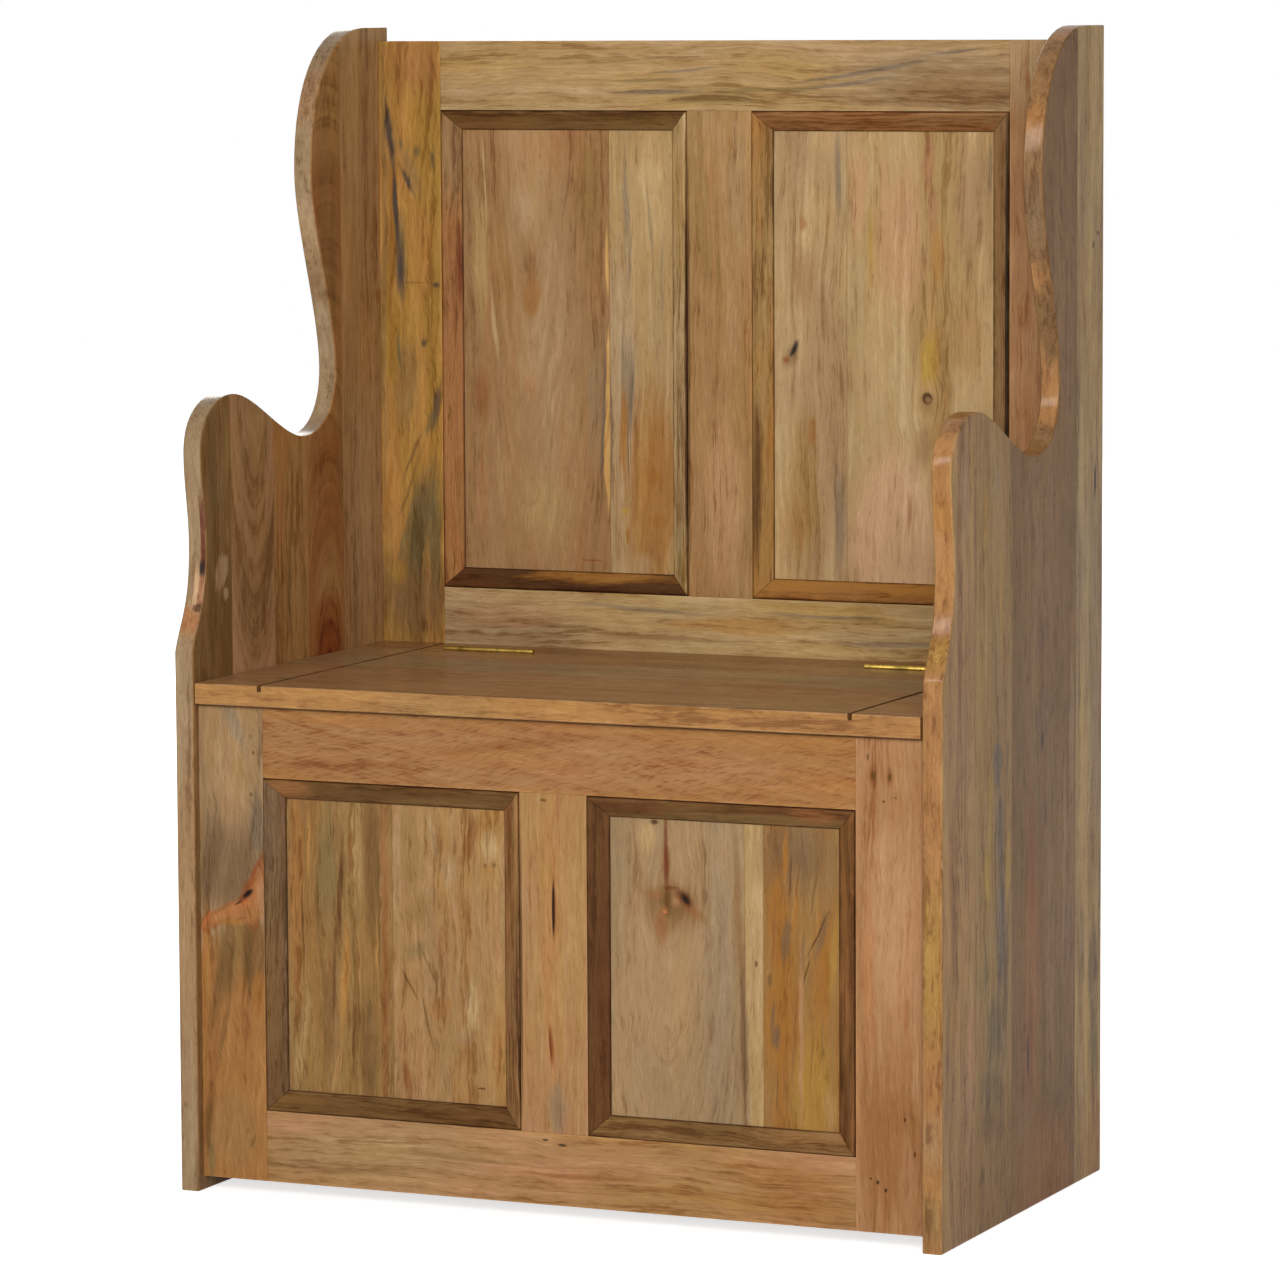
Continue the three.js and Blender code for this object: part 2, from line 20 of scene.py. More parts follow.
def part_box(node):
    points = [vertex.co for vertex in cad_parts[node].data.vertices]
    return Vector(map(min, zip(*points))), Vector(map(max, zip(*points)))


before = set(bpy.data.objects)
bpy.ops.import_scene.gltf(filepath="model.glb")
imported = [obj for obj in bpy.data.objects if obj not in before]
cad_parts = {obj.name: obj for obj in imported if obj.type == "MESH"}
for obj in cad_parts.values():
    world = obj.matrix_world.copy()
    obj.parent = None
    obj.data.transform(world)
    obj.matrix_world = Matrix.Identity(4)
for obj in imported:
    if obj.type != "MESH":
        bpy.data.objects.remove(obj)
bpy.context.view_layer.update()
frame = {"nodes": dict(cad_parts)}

LOG = logging.getLogger("settle_bench")

Socket = bpy.types.NodeSocket
Value = bpy.types.NodeSocket | float | tuple[float, ...]
Pair = tuple[float, float]
Triple = tuple[float, float, float]
Colour = tuple[float, float, float, float]

WHITE: Colour = (1.0, 1.0, 1.0, 1.0)
PAST_EDGE = 9.0
NOISE_MIDDLE = 0.5
NOISE_ROUGH = 0.55


class Axis(Enum):
    """A direction of the bench's frame, as its place in a vector."""

    X = 0
    Y = 1
    Z = 2


class Hue(Enum):
    """Colours of lacquered mango wood, written as screen colours."""

    TAN = "9c7850"
    WHEAT = "a88858"
    OAT = "a68660"
    STRAW = "b6986c"
    FLAX = "ac906c"
    CREAM = "c0a06c"
    BUTTER = "c4985a"
    FAWN = "967a58"
    ASH = "88745a"
    SMOKE = "706050"
    SLATE = "504238"
    ROSE = "9e724a"
    BLUSH = "a87c56"
    PINK = "ba9068"
    PEACH = "c8a078"
    GOLD_TAN = "a47c4c"
    HONEY = "aa7a40"
    GOLD = "a07838"
    YELLOW = "b08c40"
    AMBER = "98662e"
    SIENNA = "9c6c3c"
    COPPER = "a66c40"
    CLAY = "967048"
    KHAKI = "947446"
    BRONZE = "8e6c40"
    OLIVE = "7e6840"
    MOSS = "6a5a3a"
    DRAB = "8a6842"
    COCOA = "84603a"
    NUT = "70522e"
    STONE = "70563c"
    WALNUT = "60401f"
    UMBER = "4c3018"
    BARK = "58341a"
    CHESTNUT = "8c5c34"
    RUST = "8c4a24"
    EMBER = "b86e40"
    BRICK = "6a3018"
    TAR = "1c120a"

    @property
    def rgba(self) -> Colour:
        """The colour as linear light, with full cover."""
        return (*screen_to_light(self.value), 1.0)


class Grain(Enum):
    """How much light the dark and the pale lines of a grain pass, per channel."""

    BROWN = ((0.62, 0.53, 0.44), (1.22, 1.29, 1.40))
    RED = ((0.70, 0.52, 0.42), (1.18, 1.28, 1.40))


class Tint(Enum):
    """How much light a cloud of another tint passes, per channel."""

    GREY = (0.86, 0.90, 0.91)
    YELLOW = (1.05, 0.99, 0.70)
    PINK = (1.08, 0.90, 0.88)


def screen_to_light(code: str) -> Triple:
    """Turns a six-digit screen colour into linear light.

    Args:
        code: the colour as six hexadecimal digits.

    Returns:
        Red, green and blue from 0 to 1.
    """
    parts = [int(code[i : i + 2], 16) / 255 for i in (0, 2, 4)]
    light = [((p + 0.055) / 1.055) ** 2.4 if p > 0.04045 else p / 12.92 for p in parts]
    return light[0], light[1], light[2]


class Pen:
    """Writes the nodes of one node tree."""

    def __init__(self, tree: bpy.types.NodeTree) -> None:
        """Keeps the tree that the pen writes in."""
        self.tree = tree

    def node(self, kind: str, **settings: object) -> bpy.types.Node:
        """Adds a node.

        Args:
            kind: Blender's name of the node type.
            settings: properties to set on it.

        Returns:
            The new node.
        """
        made = self.tree.nodes.new(kind)
        for key, value in settings.items():
            setattr(made, key, value)
        return made

    def feed(self, socket: Socket, value: Value) -> None:
        """Wires a socket to another one, or writes a plain value on it.

        Args:
            socket: the input to feed.
            value: the socket or the plain value that it takes.
        """
        if isinstance(value, bpy.types.NodeSocket):
            self.tree.links.new(value, socket)
        else:
            socket.default_value = value

    def feed_all(self, node: bpy.types.Node, values: tuple[Value, ...]) -> Socket:
        """Feeds a node's first inputs in order.

        Args:
            node: the node.
            values: what its inputs take.

        Returns:
            The node's first result.
        """
        for socket, value in zip(node.inputs, values):
            self.feed(socket, value)
        return node.outputs[0]

    def math(self, way: str, *values: Value) -> Socket:
        """Adds a Math node and gives its result."""
        return self.feed_all(self.node("ShaderNodeMath", operation=way), values)

    def scaled(self, value: Value, times: Value, plus: Value) -> Socket:
        """Multiplies a value by another one and adds a third."""
        return self.math("MULTIPLY_ADD", value, times, plus)

    def blend(self, share: Value, under: Value, over: Value, way: str = "MIX") -> Socket:
        """Lays one colour over another.

        Args:
            share: how much of the upper colour shows, from 0 to 1.
            under: the lower colour.
            over: the upper colour.
            way: Blender's name of the blend.

        Returns:
            The mixed colour.
        """
        made = self.node("ShaderNodeMix", data_type="RGBA", blend_type=way)
        colours = [s for s in made.inputs if s.type == "RGBA"]
        self.feed(made.inputs[0], share)
        self.feed(colours[0], under)
        self.feed(colours[1], over)
        return [s for s in made.outputs if s.type == "RGBA"][0]

    def ease(
        self, value: Value, low: Value, high: Value, start: float = 0.0, end: float = 1.0
    ) -> Socket:
        """Runs smoothly from start to end as the value goes from low to high.

        Args:
            value: what is watched.
            low: where the run starts; it may be above high.
            high: where the run ends.
            start: the result at low.
            end: the result at high.

        Returns:
            The result.
        """
        made = self.node("ShaderNodeMapRange", interpolation_type="SMOOTHSTEP")
        return self.feed_all(made, (value, low, high, start, end))

    def join(self, x: Value, y: Value, z: Value) -> Socket:
        """Makes a vector of three numbers."""
        return self.feed_all(self.node("ShaderNodeCombineXYZ"), (x, y, z))

    def split(self, vector: Socket) -> list[Socket]:
        """Takes a vector or a colour apart into its three numbers.

        Args:
            vector: the vector or the colour.

        Returns:
            Its three numbers.
        """
        made = self.node("ShaderNodeSeparateXYZ")
        self.feed(made.inputs[0], vector)
        return list(made.outputs)

    def noise(
        self, place: Socket, scale: Triple, detail: float, rough: float = NOISE_ROUGH
    ) -> Socket:
        """Adds smooth noise and gives it as one number, about 0.5 on average."""
        return self.noise_node(place, scale, detail, rough).outputs[0]

    def noises(self, place: Socket, scale: Triple, detail: float) -> list[Socket]:
        """Adds smooth noise and gives it as three numbers that differ."""
        return self.split(self.noise_node(place, scale, detail, NOISE_ROUGH).outputs[1])

    def noise_node(
        self, place: Socket, scale: Triple, detail: float, rough: float
    ) -> bpy.types.Node:
        """Adds smooth noise.

        Args:
            place: the vector that it is read at.
            scale: waves per metre in each direction.
            detail: how many finer layers it has.
            rough: how strong the finer layers are.

        Returns:
            The noise node.
        """
        spread = self.node("ShaderNodeVectorMath", operation="MULTIPLY")
        self.feed(spread.inputs[0], place)
        self.feed(spread.inputs[1], scale)
        made = self.node("ShaderNodeTexNoise")
        self.feed(made.inputs["Vector"], spread.outputs[0])
        self.feed(made.inputs["Scale"], 1.0)
        self.feed(made.inputs["Detail"], detail)
        self.feed(made.inputs["Roughness"], rough)
        return made

    def bump(self, height: Socket, strength: float, depth: float) -> Socket:
        """Adds a bump.

        Args:
            height: the relief.
            strength: how much of it shows, from 0 to 1.
            depth: its depth at height 1, in metres.

        Returns:
            The bumped normal.
        """
        made = self.node("ShaderNodeBump")
        made.inputs["Strength"].default_value = strength
        made.inputs["Distance"].default_value = depth
        self.feed(made.inputs["Height"], height)
        return made.outputs[0]

    def finish(self, kind: str, result: Socket) -> None:
        """Wires the result to the tree's output, which is of the kind named."""
        self.feed(self.node(kind).inputs["Surface"], result)


def new_material(name: str) -> tuple[bpy.types.Material, Pen]:
    """Makes a material with no nodes.

    Args:
        name: its name.

    Returns:
        The material, and the pen that writes its nodes.
    """
    made = bpy.data.materials.new(name)
    made.use_nodes = True
    made.node_tree.nodes.clear()
    return made, Pen(made.node_tree)


@dataclass(frozen=True)
class Stave:
    """One strip of a glued-up board.

    end: place across the grain of its far edge.
    main, second: its two colours, which change over in broad bands.
    heart: place across the grain of the tree's heart; the rings curve round it.
    depth: how far behind the face the heart lies at the crest.
    climb: how fast the heart falls away along the grain; 0 gives straight lines.
    crest: place along the grain where the heart is nearest.
    """

    end: float
    main: Hue
    second: Hue
    heart: float = 0.6
    depth: float = 0.05
    climb: float = 0.0
    crest: float = 0.0


@dataclass(frozen=True)
class Stain:
    """A patch, streak, knot or split of another colour.

    at: its middle, across and along the grain.
    reach: its half sizes, across and along the grain.
    hue: its colour.
    weight: how much of it shows, from 0 to 1.
    lean: how far it moves across for each unit along.
    rag: how ragged its edge is.
    soft: how much of its reach fades out.
    sunk: how far it is sunk below the face, as a share of the bump.
    on_rim: whether it shows on the piece's narrow edges alone.
    down: how far it goes into the piece from its high side, or 0 for right through.
    """

    at: Pair
    reach: Pair
    hue: Hue
    weight: float = 0.8
    lean: float = 0.0
    rag: float = 0.5
    soft: float = 0.7
    sunk: float = 0.0
    on_rim: bool = False
    down: float = 0.0


@dataclass(frozen=True)
class Knot:
    """A place where the grain flows round a branch.

    at: its middle, across and along the grain.
    reach: half sizes of the grain that it bends.
    bend: how strongly it bends the grain, from 0 to 1.
    """

    at: Pair
    reach: Pair
    bend: float = 0.8


@dataclass(frozen=True)
class Wood:
    """The finish of one wooden piece.

    grain: the axis that the grain runs along.
    across: the axis across the grain, on the face that shows.
    staves: the strips that it is glued up from, in order across the grain.
    stains: its marks, from the lowest to the uppermost.
    knots: the places where its grain flows round a branch.
    lines: the colours of its dark and its pale lines.
    seed: a shift along the grain, which gives it a figure of its own.
    contrast: how strong its grain is.
    flecks: how much its pores show, from 0 to 1.
    lean: how far its lines move across for each unit along.
    wander: how far its lines drift in long waves.
    ripple: how far they drift in short waves.
    tints: how much shows of the grey, the yellow and the pink clouds, from 0 to 1.
    rings: how strong its growth rings are.
    wear: how much paler its edges are, by wear and a painted highlight.
    grime: how much dirt and painted shade its long edges hold, from 0 to 1.
    rim: the colour of its narrow edges, where that differs.
    gloss: the roughness of its surface.
    coat: how much clear lacquer lies on it.
    """

    grain: Axis
    across: Axis
    staves: tuple[Stave, ...]
    stains: tuple[Stain, ...] = ()
    knots: tuple[Knot, ...] = ()
    lines: Grain = Grain.BROWN
    seed: float = 0.0
    contrast: float = 1.0
    flecks: float = 0.25
    lean: float = 0.0
    wander: float = 0.012
    ripple: float = 0.006
    tints: Triple = (0.7, 0.6, 0.5)
    rings: float = 0.6
    wear: float = 0.25
    grime: float = 0.0
    rim: Hue | None = None
    gloss: float = 0.42
    coat: float = 0.04


class WoodPainter:
    """Turns a Wood finish into a node material for one piece.

    Waves are counted per metre, across the grain, along it and into the piece.
    A blur or a cover is a pair: where an effect starts, and where it is full.
    A weight is how strongly a layer is seen, and a share is a part of a sum.
    A rag is how far the noise moves an edge, and a shade or a light multiplies a colour.

    stave_shift: how far each stave's figure is moved along from the one before.
    stretch: how far long waves move a mark along the grain.
    glue_half: half the width over which one stave changes into the next.
    tone_darkest, tone_palest: the tones at which the lines have their full colour.
    strayed_rag, strayed_reach: above both, a stain's outline follows the grain's drift.
    """

    swirl_waves: Triple = (11.0, 4.5, 11.0)
    ripple_waves: Triple = (85.0, 30.0, 85.0)
    tint_waves: Triple = (34.0, 3.6, 34.0)
    band_waves: Triple = (46.0, 3.2, 46.0)
    streak_waves: Triple = (230.0, 8.0, 190.0)
    ring_waves: Triple = (170.0, 1.4, 0.0)
    fibre_waves: Triple = (760.0, 42.0, 760.0)
    pore_waves: Triple = (1150.0, 110.0, 1150.0)
    fleece_waves: Triple = (220.0, 90.0, 220.0)
    stave_shift: float = 1.7
    stretch: float = 0.05
    glue_half: float = 0.00025
    face_blur: Pair = (0.0020, 0.0006)
    down_blur: float = 0.0004
    cloud_share: float = 0.6
    band_share: float = 0.8
    band_cover: Pair = (0.52, 0.88)
    tint_cover: Pair = (0.50, 0.72)
    pore_cover: Pair = (0.58, 0.78)
    leaning_rings: float = 0.7
    ring_edge: float = 0.035
    edge_weight: float = 0.2
    bands_weight: float = 1.5
    streaks_weight: float = 1.5
    fibres_weight: float = 1.0
    mottle_weight: float = 0.9
    fleece_weight: float = 0.4
    tone_darkest: float = -0.03
    tone_palest: float = 1.03
    pore_shade: Colour = (0.50, 0.42, 0.34, 1.0)
    rag_spread: float = 1.6
    strayed_rag: float = 0.3
    strayed_reach: float = 0.025
    glue_blur: Pair = (0.0007, 0.0002)
    glue_weight: float = 0.45
    glue_shade: Colour = (0.45, 0.36, 0.28, 1.0)
    grime_rag: float = 0.0020
    grime_blur: Pair = (0.0028, 0.0014)
    grime_shade: Colour = (0.34, 0.27, 0.22, 1.0)
    wear_and_highlight_rag: float = 0.004
    wear_and_highlight_blur: Pair = (0.0052, 0.0022)
    wear_and_highlight_colour: Colour = (1.45, 1.42, 1.36, 1.0)
    patchy_gloss: float = 0.16
    pore_gloss: float = 0.18
    shine: float = 0.05
    coat_rough: float = 0.17
    rim_coat: float = 0.30
    pore_height: float = -0.5
    tone_height: float = 0.45
    bump_strength: float = 0.5
    bump_depth: float = 0.0004

    def __init__(self, name: str, wood: Wood, low: Vector, high: Vector) -> None:
        """Starts the material of a piece.

        Args:
            name: the material's name.
            wood: the finish.
            low: the piece's lowest corner.
            high: the piece's highest corner.
        """
        self.wood = wood
        self.low = low
        self.high = high
        self.material, self.pen = new_material(name)

    def paint(self) -> bpy.types.Material:
        """Writes all the nodes.

        Returns:
            The material.
        """
        self._places()
        self._figure()
        colour = self._body_colour()
        tone = self._tone()
        colour, sunk = self._marks(colour)
        colour = self._grain_colour(colour, tone)
        colour = self._edges_with_marks_and_painted_light(colour)
        self._shader(colour, tone, sunk)
        return self.material

    def _places(self) -> None:
        """Splits the piece's own coordinates into across, along and deep."""
        pen = self.pen
        self.parts = pen.split(pen.node("ShaderNodeTexCoord").outputs["Object"])
        deep = [a for a in Axis if a not in (self.wood.grain, self.wood.across)][0]
        self.across = self.parts[self.wood.across.value]
        self.along = self.parts[self.wood.grain.value]
        self.deep = self.parts[deep.value]
        self.top = self.high[deep.value]
        count = len(self.wood.staves)
        shift = self._by_stave([self.wood.seed + self.stave_shift * i for i in range(count)])
        self.run = pen.math("ADD", self.along, shift)
        self.gaps = [self._gap(axis.value) for axis in Axis]
        self.on_face = pen.ease(self.gaps[deep.value], *self.face_blur)

    def _gap(self, i: int) -> Socket:
        """Measures the distance to the piece's nearer face along one axis.

        Args:
            i: the axis.

        Returns:
            The distance, in metres.
        """
        middle = (self.low[i] + self.high[i]) / 2
        half = (self.high[i] - self.low[i]) / 2
        off = self.pen.math("ABSOLUTE", self.pen.math("SUBTRACT", self.parts[i], middle))
        return self.pen.math("SUBTRACT", half, off)

    def _step(self, stave: Stave) -> Socket:
        """Gives 0 before the far edge of a stave and 1 past it."""
        return self.pen.ease(self.across, stave.end - self.glue_half, stave.end + self.glue_half)

    def _by_stave(self, numbers: list[float]) -> Value:
        """Gives each stave its own number.

        Args:
            numbers: the staves' numbers, in order.

        Returns:
            The number of the stave that each place is on.
        """
        result: Value = numbers[0]
        for stave, now, after in zip(self.wood.staves, numbers, numbers[1:]):
            if after != now:
                result = self.pen.scaled(self._step(stave), after - now, result)
        return result

    def _figure(self) -> None:
        """Works out the place across the grain as the rings see it."""
        pen = self.pen
        plain = pen.join(self.across, self.run, self.deep)
        self.cloud, side_way, end_way = pen.noises(plain, self.swirl_waves, 2.0)
        self.mottle = pen.noise(plain, self.ripple_waves, 2.0)
        wander = self.wood.wander
        drift = pen.scaled(side_way, wander * 2, -wander)
        self.sway = pen.scaled(self.mottle, self.wood.ripple, drift)
        self.sway = pen.math("SUBTRACT", self.sway, self.wood.ripple / 2)
        self.surge = pen.scaled(end_way, self.stretch * 2, -self.stretch)
        bent = pen.math("ADD", self.across, self.sway)
        for knot in self.wood.knots:
            bent = self._bend(bent, knot)
        self.bent = bent
        staves = self.wood.staves
        side = pen.math("SUBTRACT", bent, self._by_stave([s.heart for s in staves]))
        rise = pen.math("SUBTRACT", self.along, self._by_stave([s.crest for s in staves]))
        slope = self._by_stave([s.climb for s in staves])
        depth = pen.scaled(rise, slope, self._by_stave([s.depth for s in staves]))
        self.ring = self._length(side, depth)

    def _length(self, first: Socket, second: Socket) -> Socket:
        """Gives the length of a line from its two sides."""
        square = self.pen.math("MULTIPLY", first, first)
        return self.pen.math("SQRT", self.pen.scaled(second, second, square))

    def _bend(self, bent: Socket, knot: Knot) -> Socket:
        """Bends the grain round a knot.

        Args:
            bent: the place across the grain so far.
            knot: the knot.

        Returns:
            The place across the grain with the knot.
        """
        pen = self.pen
        side = pen.math("SUBTRACT", bent, knot.at[0])
        rise = pen.math("SUBTRACT", self.along, knot.at[1])
        flat = pen.math("DIVIDE", side, knot.reach[0])
        tall = pen.math("DIVIDE", rise, knot.reach[1])
        hold = pen.ease(self._length(tall, flat), 1.0, 0.0, 0.0, -knot.bend)
        return pen.scaled(side, hold, bent)

    def _body_colour(self) -> Value:
        """Mixes the staves' two colours in broad bands, then lays clouds of tint on them.

        Returns:
            The wood's colour without its grain and marks.
        """
        pen = self.pen
        staves = self.wood.staves
        self.curved = pen.join(self.ring, self.run, self.deep)
        self.bands = pen.noise(self.curved, self.band_waves, 2.0)
        main: Value = staves[0].main.rgba
        second: Value = staves[0].second.rgba
        for stave, after in zip(staves, staves[1:]):
            step = self._step(stave)
            main = pen.blend(step, main, after.main.rgba)
            second = pen.blend(step, second, after.second.rgba)
        broad = pen.math("MULTIPLY", self.bands, self.band_share)
        change = pen.scaled(self.cloud, self.cloud_share, broad)
        body = pen.blend(pen.ease(change, *self.band_cover), main, second)
        place = pen.join(self.bent, self.run, self.deep)
        layers = pen.noises(place, self.tint_waves, 2.0)
        for layer, tint, share in zip(layers, Tint, self.wood.tints):
            cover = pen.ease(layer, *self.tint_cover, 0.0, share)
            body = pen.blend(cover, body, (*tint.value, 1.0), "MULTIPLY")
        if self.wood.rim is not None:
            body = pen.blend(self.on_face, self.wood.rim.rgba, body)
        return body

    def _tone(self) -> Socket:
        """Adds up the grain's lines, streaks and fibres.

        Returns:
            The grain, from dark 0 to pale 1.
        """
        pen = self.pen
        wood = self.wood
        leaning = pen.scaled(self.along, wood.lean, self.bent)
        straight = pen.join(leaning, self.run, self.deep)
        slanted = pen.scaled(self.along, wood.lean * self.leaning_rings, self.ring)
        slanted = pen.join(slanted, self.run, self.deep)
        self.streaks = pen.noise(slanted, self.streak_waves, 3.0, 0.6)
        rings = pen.noise(self.curved, self.ring_waves, 2.0)
        fibres = pen.noise(straight, self.fibre_waves, 1.0)
        pores = pen.noise(straight, self.pore_waves, 0.0)
        self.pores = pen.ease(pores, *self.pore_cover)
        fleece = pen.noise(straight, self.fleece_waves, 2.0, 0.6)
        off = pen.math("ABSOLUTE", pen.math("SUBTRACT", rings, NOISE_MIDDLE))
        edge = pen.ease(off, 0.0, self.ring_edge)
        layers = (
            (self.bands, self.bands_weight),
            (self.streaks, self.streaks_weight),
            (rings, wood.rings),
            (fibres, self.fibres_weight),
            (self.mottle, self.mottle_weight),
            (fleece, self.fleece_weight),
            (edge, wood.rings * self.edge_weight),
        )
        weights = sum(weight for _, weight in layers)
        tone: Value = NOISE_MIDDLE - NOISE_MIDDLE * wood.contrast * weights
        for layer, weight in layers:
            tone = pen.scaled(layer, weight * wood.contrast, tone)
        return tone

    def _grain_colour(self, colour: Socket, tone: Socket) -> Socket:
        """Darkens and brightens the wood by its tone, then by its pores.

        Args:
            colour: the wood's colour without its grain.
            tone: the grain, from dark 0 to pale 1.

        Returns:
            The colour with its grain.
        """
        pen = self.pen
        dark, pale = self.wood.lines.value
        shade = pen.blend(pen.ease(tone, NOISE_MIDDLE, self.tone_darkest), WHITE, (*dark, 1.0))
        light = pen.blend(pen.ease(tone, NOISE_MIDDLE, self.tone_palest), WHITE, (*pale, 1.0))
        lined = pen.blend(1.0, pen.blend(1.0, colour, shade, "MULTIPLY"), light, "MULTIPLY")
        pores = pen.math("MULTIPLY", self.pores, self.wood.flecks)
        return pen.blend(pores, lined, self.pore_shade, "MULTIPLY")

    def _mask(self, stain: Stain, rag: Socket) -> Socket:
        """Works out how much of a stain covers each place.

        Args:
            stain: the stain.
            rag: how far each place is pushed out of a stain, or into it where below 0.

        Returns:
            The cover, from 0 to the stain's weight.
        """
        pen = self.pen
        rise = pen.math("SUBTRACT", self.along, stain.at[1])
        side = pen.math("SUBTRACT", self.across, stain.at[0])
        if stain.rag > self.strayed_rag and stain.reach[1] > self.strayed_reach:
            rise = pen.scaled(self.surge, stain.rag, rise)
            side = pen.scaled(self.sway, stain.rag, side)
        if stain.lean:
            side = pen.scaled(rise, -stain.lean, side)
        flat = pen.math("DIVIDE", side, stain.reach[0])
        tall = pen.math("DIVIDE", rise, stain.reach[1])
        far = pen.scaled(rag, stain.rag, self._length(tall, flat))
        cover = pen.ease(far, 1.0, 1.0 - stain.soft, 0.0, stain.weight)
        if stain.down:
            low = pen.math("SUBTRACT", self.top, self.deep)
            near = pen.ease(low, stain.down + self.down_blur, stain.down - self.down_blur)
            cover = pen.math("MULTIPLY", cover, near)
        if stain.on_rim:
            cover = pen.math("MULTIPLY", cover, pen.math("SUBTRACT", 1.0, self.on_face))
        return cover

    def _marks(self, colour: Value) -> tuple[Value, Value]:
        """Lays the stains over the wood.

        Args:
            colour: the wood's colour without its grain.

        Returns:
            The new colour, and how far each place is sunk.
        """
        pen = self.pen
        sunk: Value = 0.0
        both = pen.math("ADD", self.streaks, self.bands)
        rag = pen.scaled(both, self.rag_spread, -self.rag_spread)
        for stain in self.wood.stains:
            mask = self._mask(stain, rag)
            colour = pen.blend(mask, colour, stain.hue.rgba)
            if stain.sunk:
                sunk = pen.scaled(mask, -stain.sunk, sunk)
        return colour, sunk

    def _edges_with_marks_and_painted_light(self, colour: Socket) -> Socket:
        """Darkens the piece's glue lines, darkens its long edges with dirt and painted shade, and
        pales its corners with wear and a painted highlight.

        Args:
            colour: the colour with its grain.

        Returns:
            The finished colour.
        """
        pen = self.pen
        for stave in self.wood.staves[:-1]:
            off = pen.math("ABSOLUTE", pen.math("SUBTRACT", self.across, stave.end))
            line = pen.ease(off, *self.glue_blur, 0.0, self.glue_weight)
            colour = pen.blend(line, colour, self.glue_shade, "MULTIPLY")
        # Dirt and painted shade: darkens the long edges, standing in for the dark lines where a
        # moulding meets the frame and the panel.
        if self.wood.grime:
            side = self.gaps[self.wood.across.value]
            side = pen.scaled(self.mottle, self.grime_rag, side)
            dirt = pen.ease(side, *self.grime_blur, 0.0, self.wood.grime)
            colour = pen.blend(dirt, colour, self.grime_shade, "MULTIPLY")
        # Wear and a painted highlight: pales the piece's corners, such as a moulding's rounded lip.
        gaps = self.gaps
        least = pen.math("MINIMUM", gaps[0], gaps[1])
        most = pen.math("MAXIMUM", gaps[0], gaps[1])
        middle = pen.math("MAXIMUM", least, pen.math("MINIMUM", most, gaps[2]))
        rough = pen.scaled(self.cloud, self.wear_and_highlight_rag, middle)
        wear_and_highlight_cover = pen.ease(rough, *self.wear_and_highlight_blur, 0.0, self.wood.wear)
        return pen.blend(wear_and_highlight_cover, colour, self.wear_and_highlight_colour, "MULTIPLY")

    def _shader(self, colour: Socket, tone: Socket, sunk: Value) -> None:
        """Adds the lacquered surface itself.

        Args:
            colour: its colour.
            tone: the grain, which is felt as a fine relief.
            sunk: how far knots and splits are sunk.
        """
        pen = self.pen
        shader = pen.node("ShaderNodeBsdfPrincipled")
        pen.feed(shader.inputs["Base Color"], colour)
        least = self.wood.gloss - self.patchy_gloss / 2
        patchy = pen.scaled(self.cloud, self.patchy_gloss, least)
        rough = pen.scaled(self.pores, self.pore_gloss, patchy)
        pen.feed(shader.inputs["Roughness"], rough)
        shader.inputs["Specular IOR Level"].default_value = self.shine
        shader.inputs["Coat Roughness"].default_value = self.coat_rough
        coat = shader.inputs["Coat Weight"]
        coat.default_value = self.wood.coat
        if self.wood.rim is not None:
            less = self.wood.coat - self.rim_coat
            pen.feed(coat, pen.scaled(self.on_face, less, self.rim_coat))
        lines = pen.math("MULTIPLY", tone, self.tone_height)
        height = pen.scaled(self.pores, self.pore_height, lines)
        height = pen.math("ADD", height, sunk)
        normal = pen.bump(height, self.bump_strength, self.bump_depth)
        pen.feed(shader.inputs["Normal"], normal)
        pen.finish("ShaderNodeOutputMaterial", shader.outputs[0])


@dataclass(frozen=True)
class Brass:
    """The finish of the hinges: drawn brass, lacquered and a little tarnished.

    bright, dull, dirt: its colours where it is clean, tarnished and dirty.
    rough: the usual roughness of its surface.
    smoothing: how far the smoothest places lie below that.
    uneven: how far the roughest places lie above the smoothest.
    """

    bright: str = "ccac54"
    dull: str = "8c7434"
    dirt: str = "3a2a12"
    rough: float = 0.30
    smoothing: float = 0.12
    uneven: float = 0.30
    cloud_waves: Triple = (90.0, 140.0, 140.0)
    drawn_waves: Triple = (60.0, 2600.0, 2600.0)
    spot_waves: Triple = (900.0, 900.0, 900.0)
    dull_cover: Pair = (0.35, 0.70)
    spot_cover: Pair = (0.66, 0.80)
    spot_weight: float = 0.7
    bump_strength: float = 0.25
    bump_depth: float = 0.0001

    def paint(self, name: str) -> bpy.types.Material:
        """Writes the material.

        Args:
            name: its name.

        Returns:
            The new material.
        """
        made, pen = new_material(name)
        where = pen.node("ShaderNodeTexCoord").outputs["Object"]
        cloud = pen.noise(where, self.cloud_waves, 3.0)
        drawn = pen.noise(where, self.drawn_waves, 2.0)
        spots = pen.noise(where, self.spot_waves, 1.0)
        bright, dull, dirt = (
            (*screen_to_light(code), 1.0) for code in (self.bright, self.dull, self.dirt)
        )
        colour = pen.blend(pen.ease(cloud, *self.dull_cover), bright, dull)
        spotted = pen.ease(spots, *self.spot_cover, 0.0, self.spot_weight)
        colour = pen.blend(spotted, colour, dirt)
        shader = pen.node("ShaderNodeBsdfPrincipled")
        pen.feed(shader.inputs["Base Color"], colour)
        shader.inputs["Metallic"].default_value = 1.0
        least = self.rough - self.smoothing
        rough = pen.scaled(cloud, self.uneven, least)
        pen.feed(shader.inputs["Roughness"], rough)
        normal = pen.bump(drawn, self.bump_strength, self.bump_depth)
        pen.feed(shader.inputs["Normal"], normal)
        pen.finish("ShaderNodeOutputMaterial", shader.outputs[0])
        return made


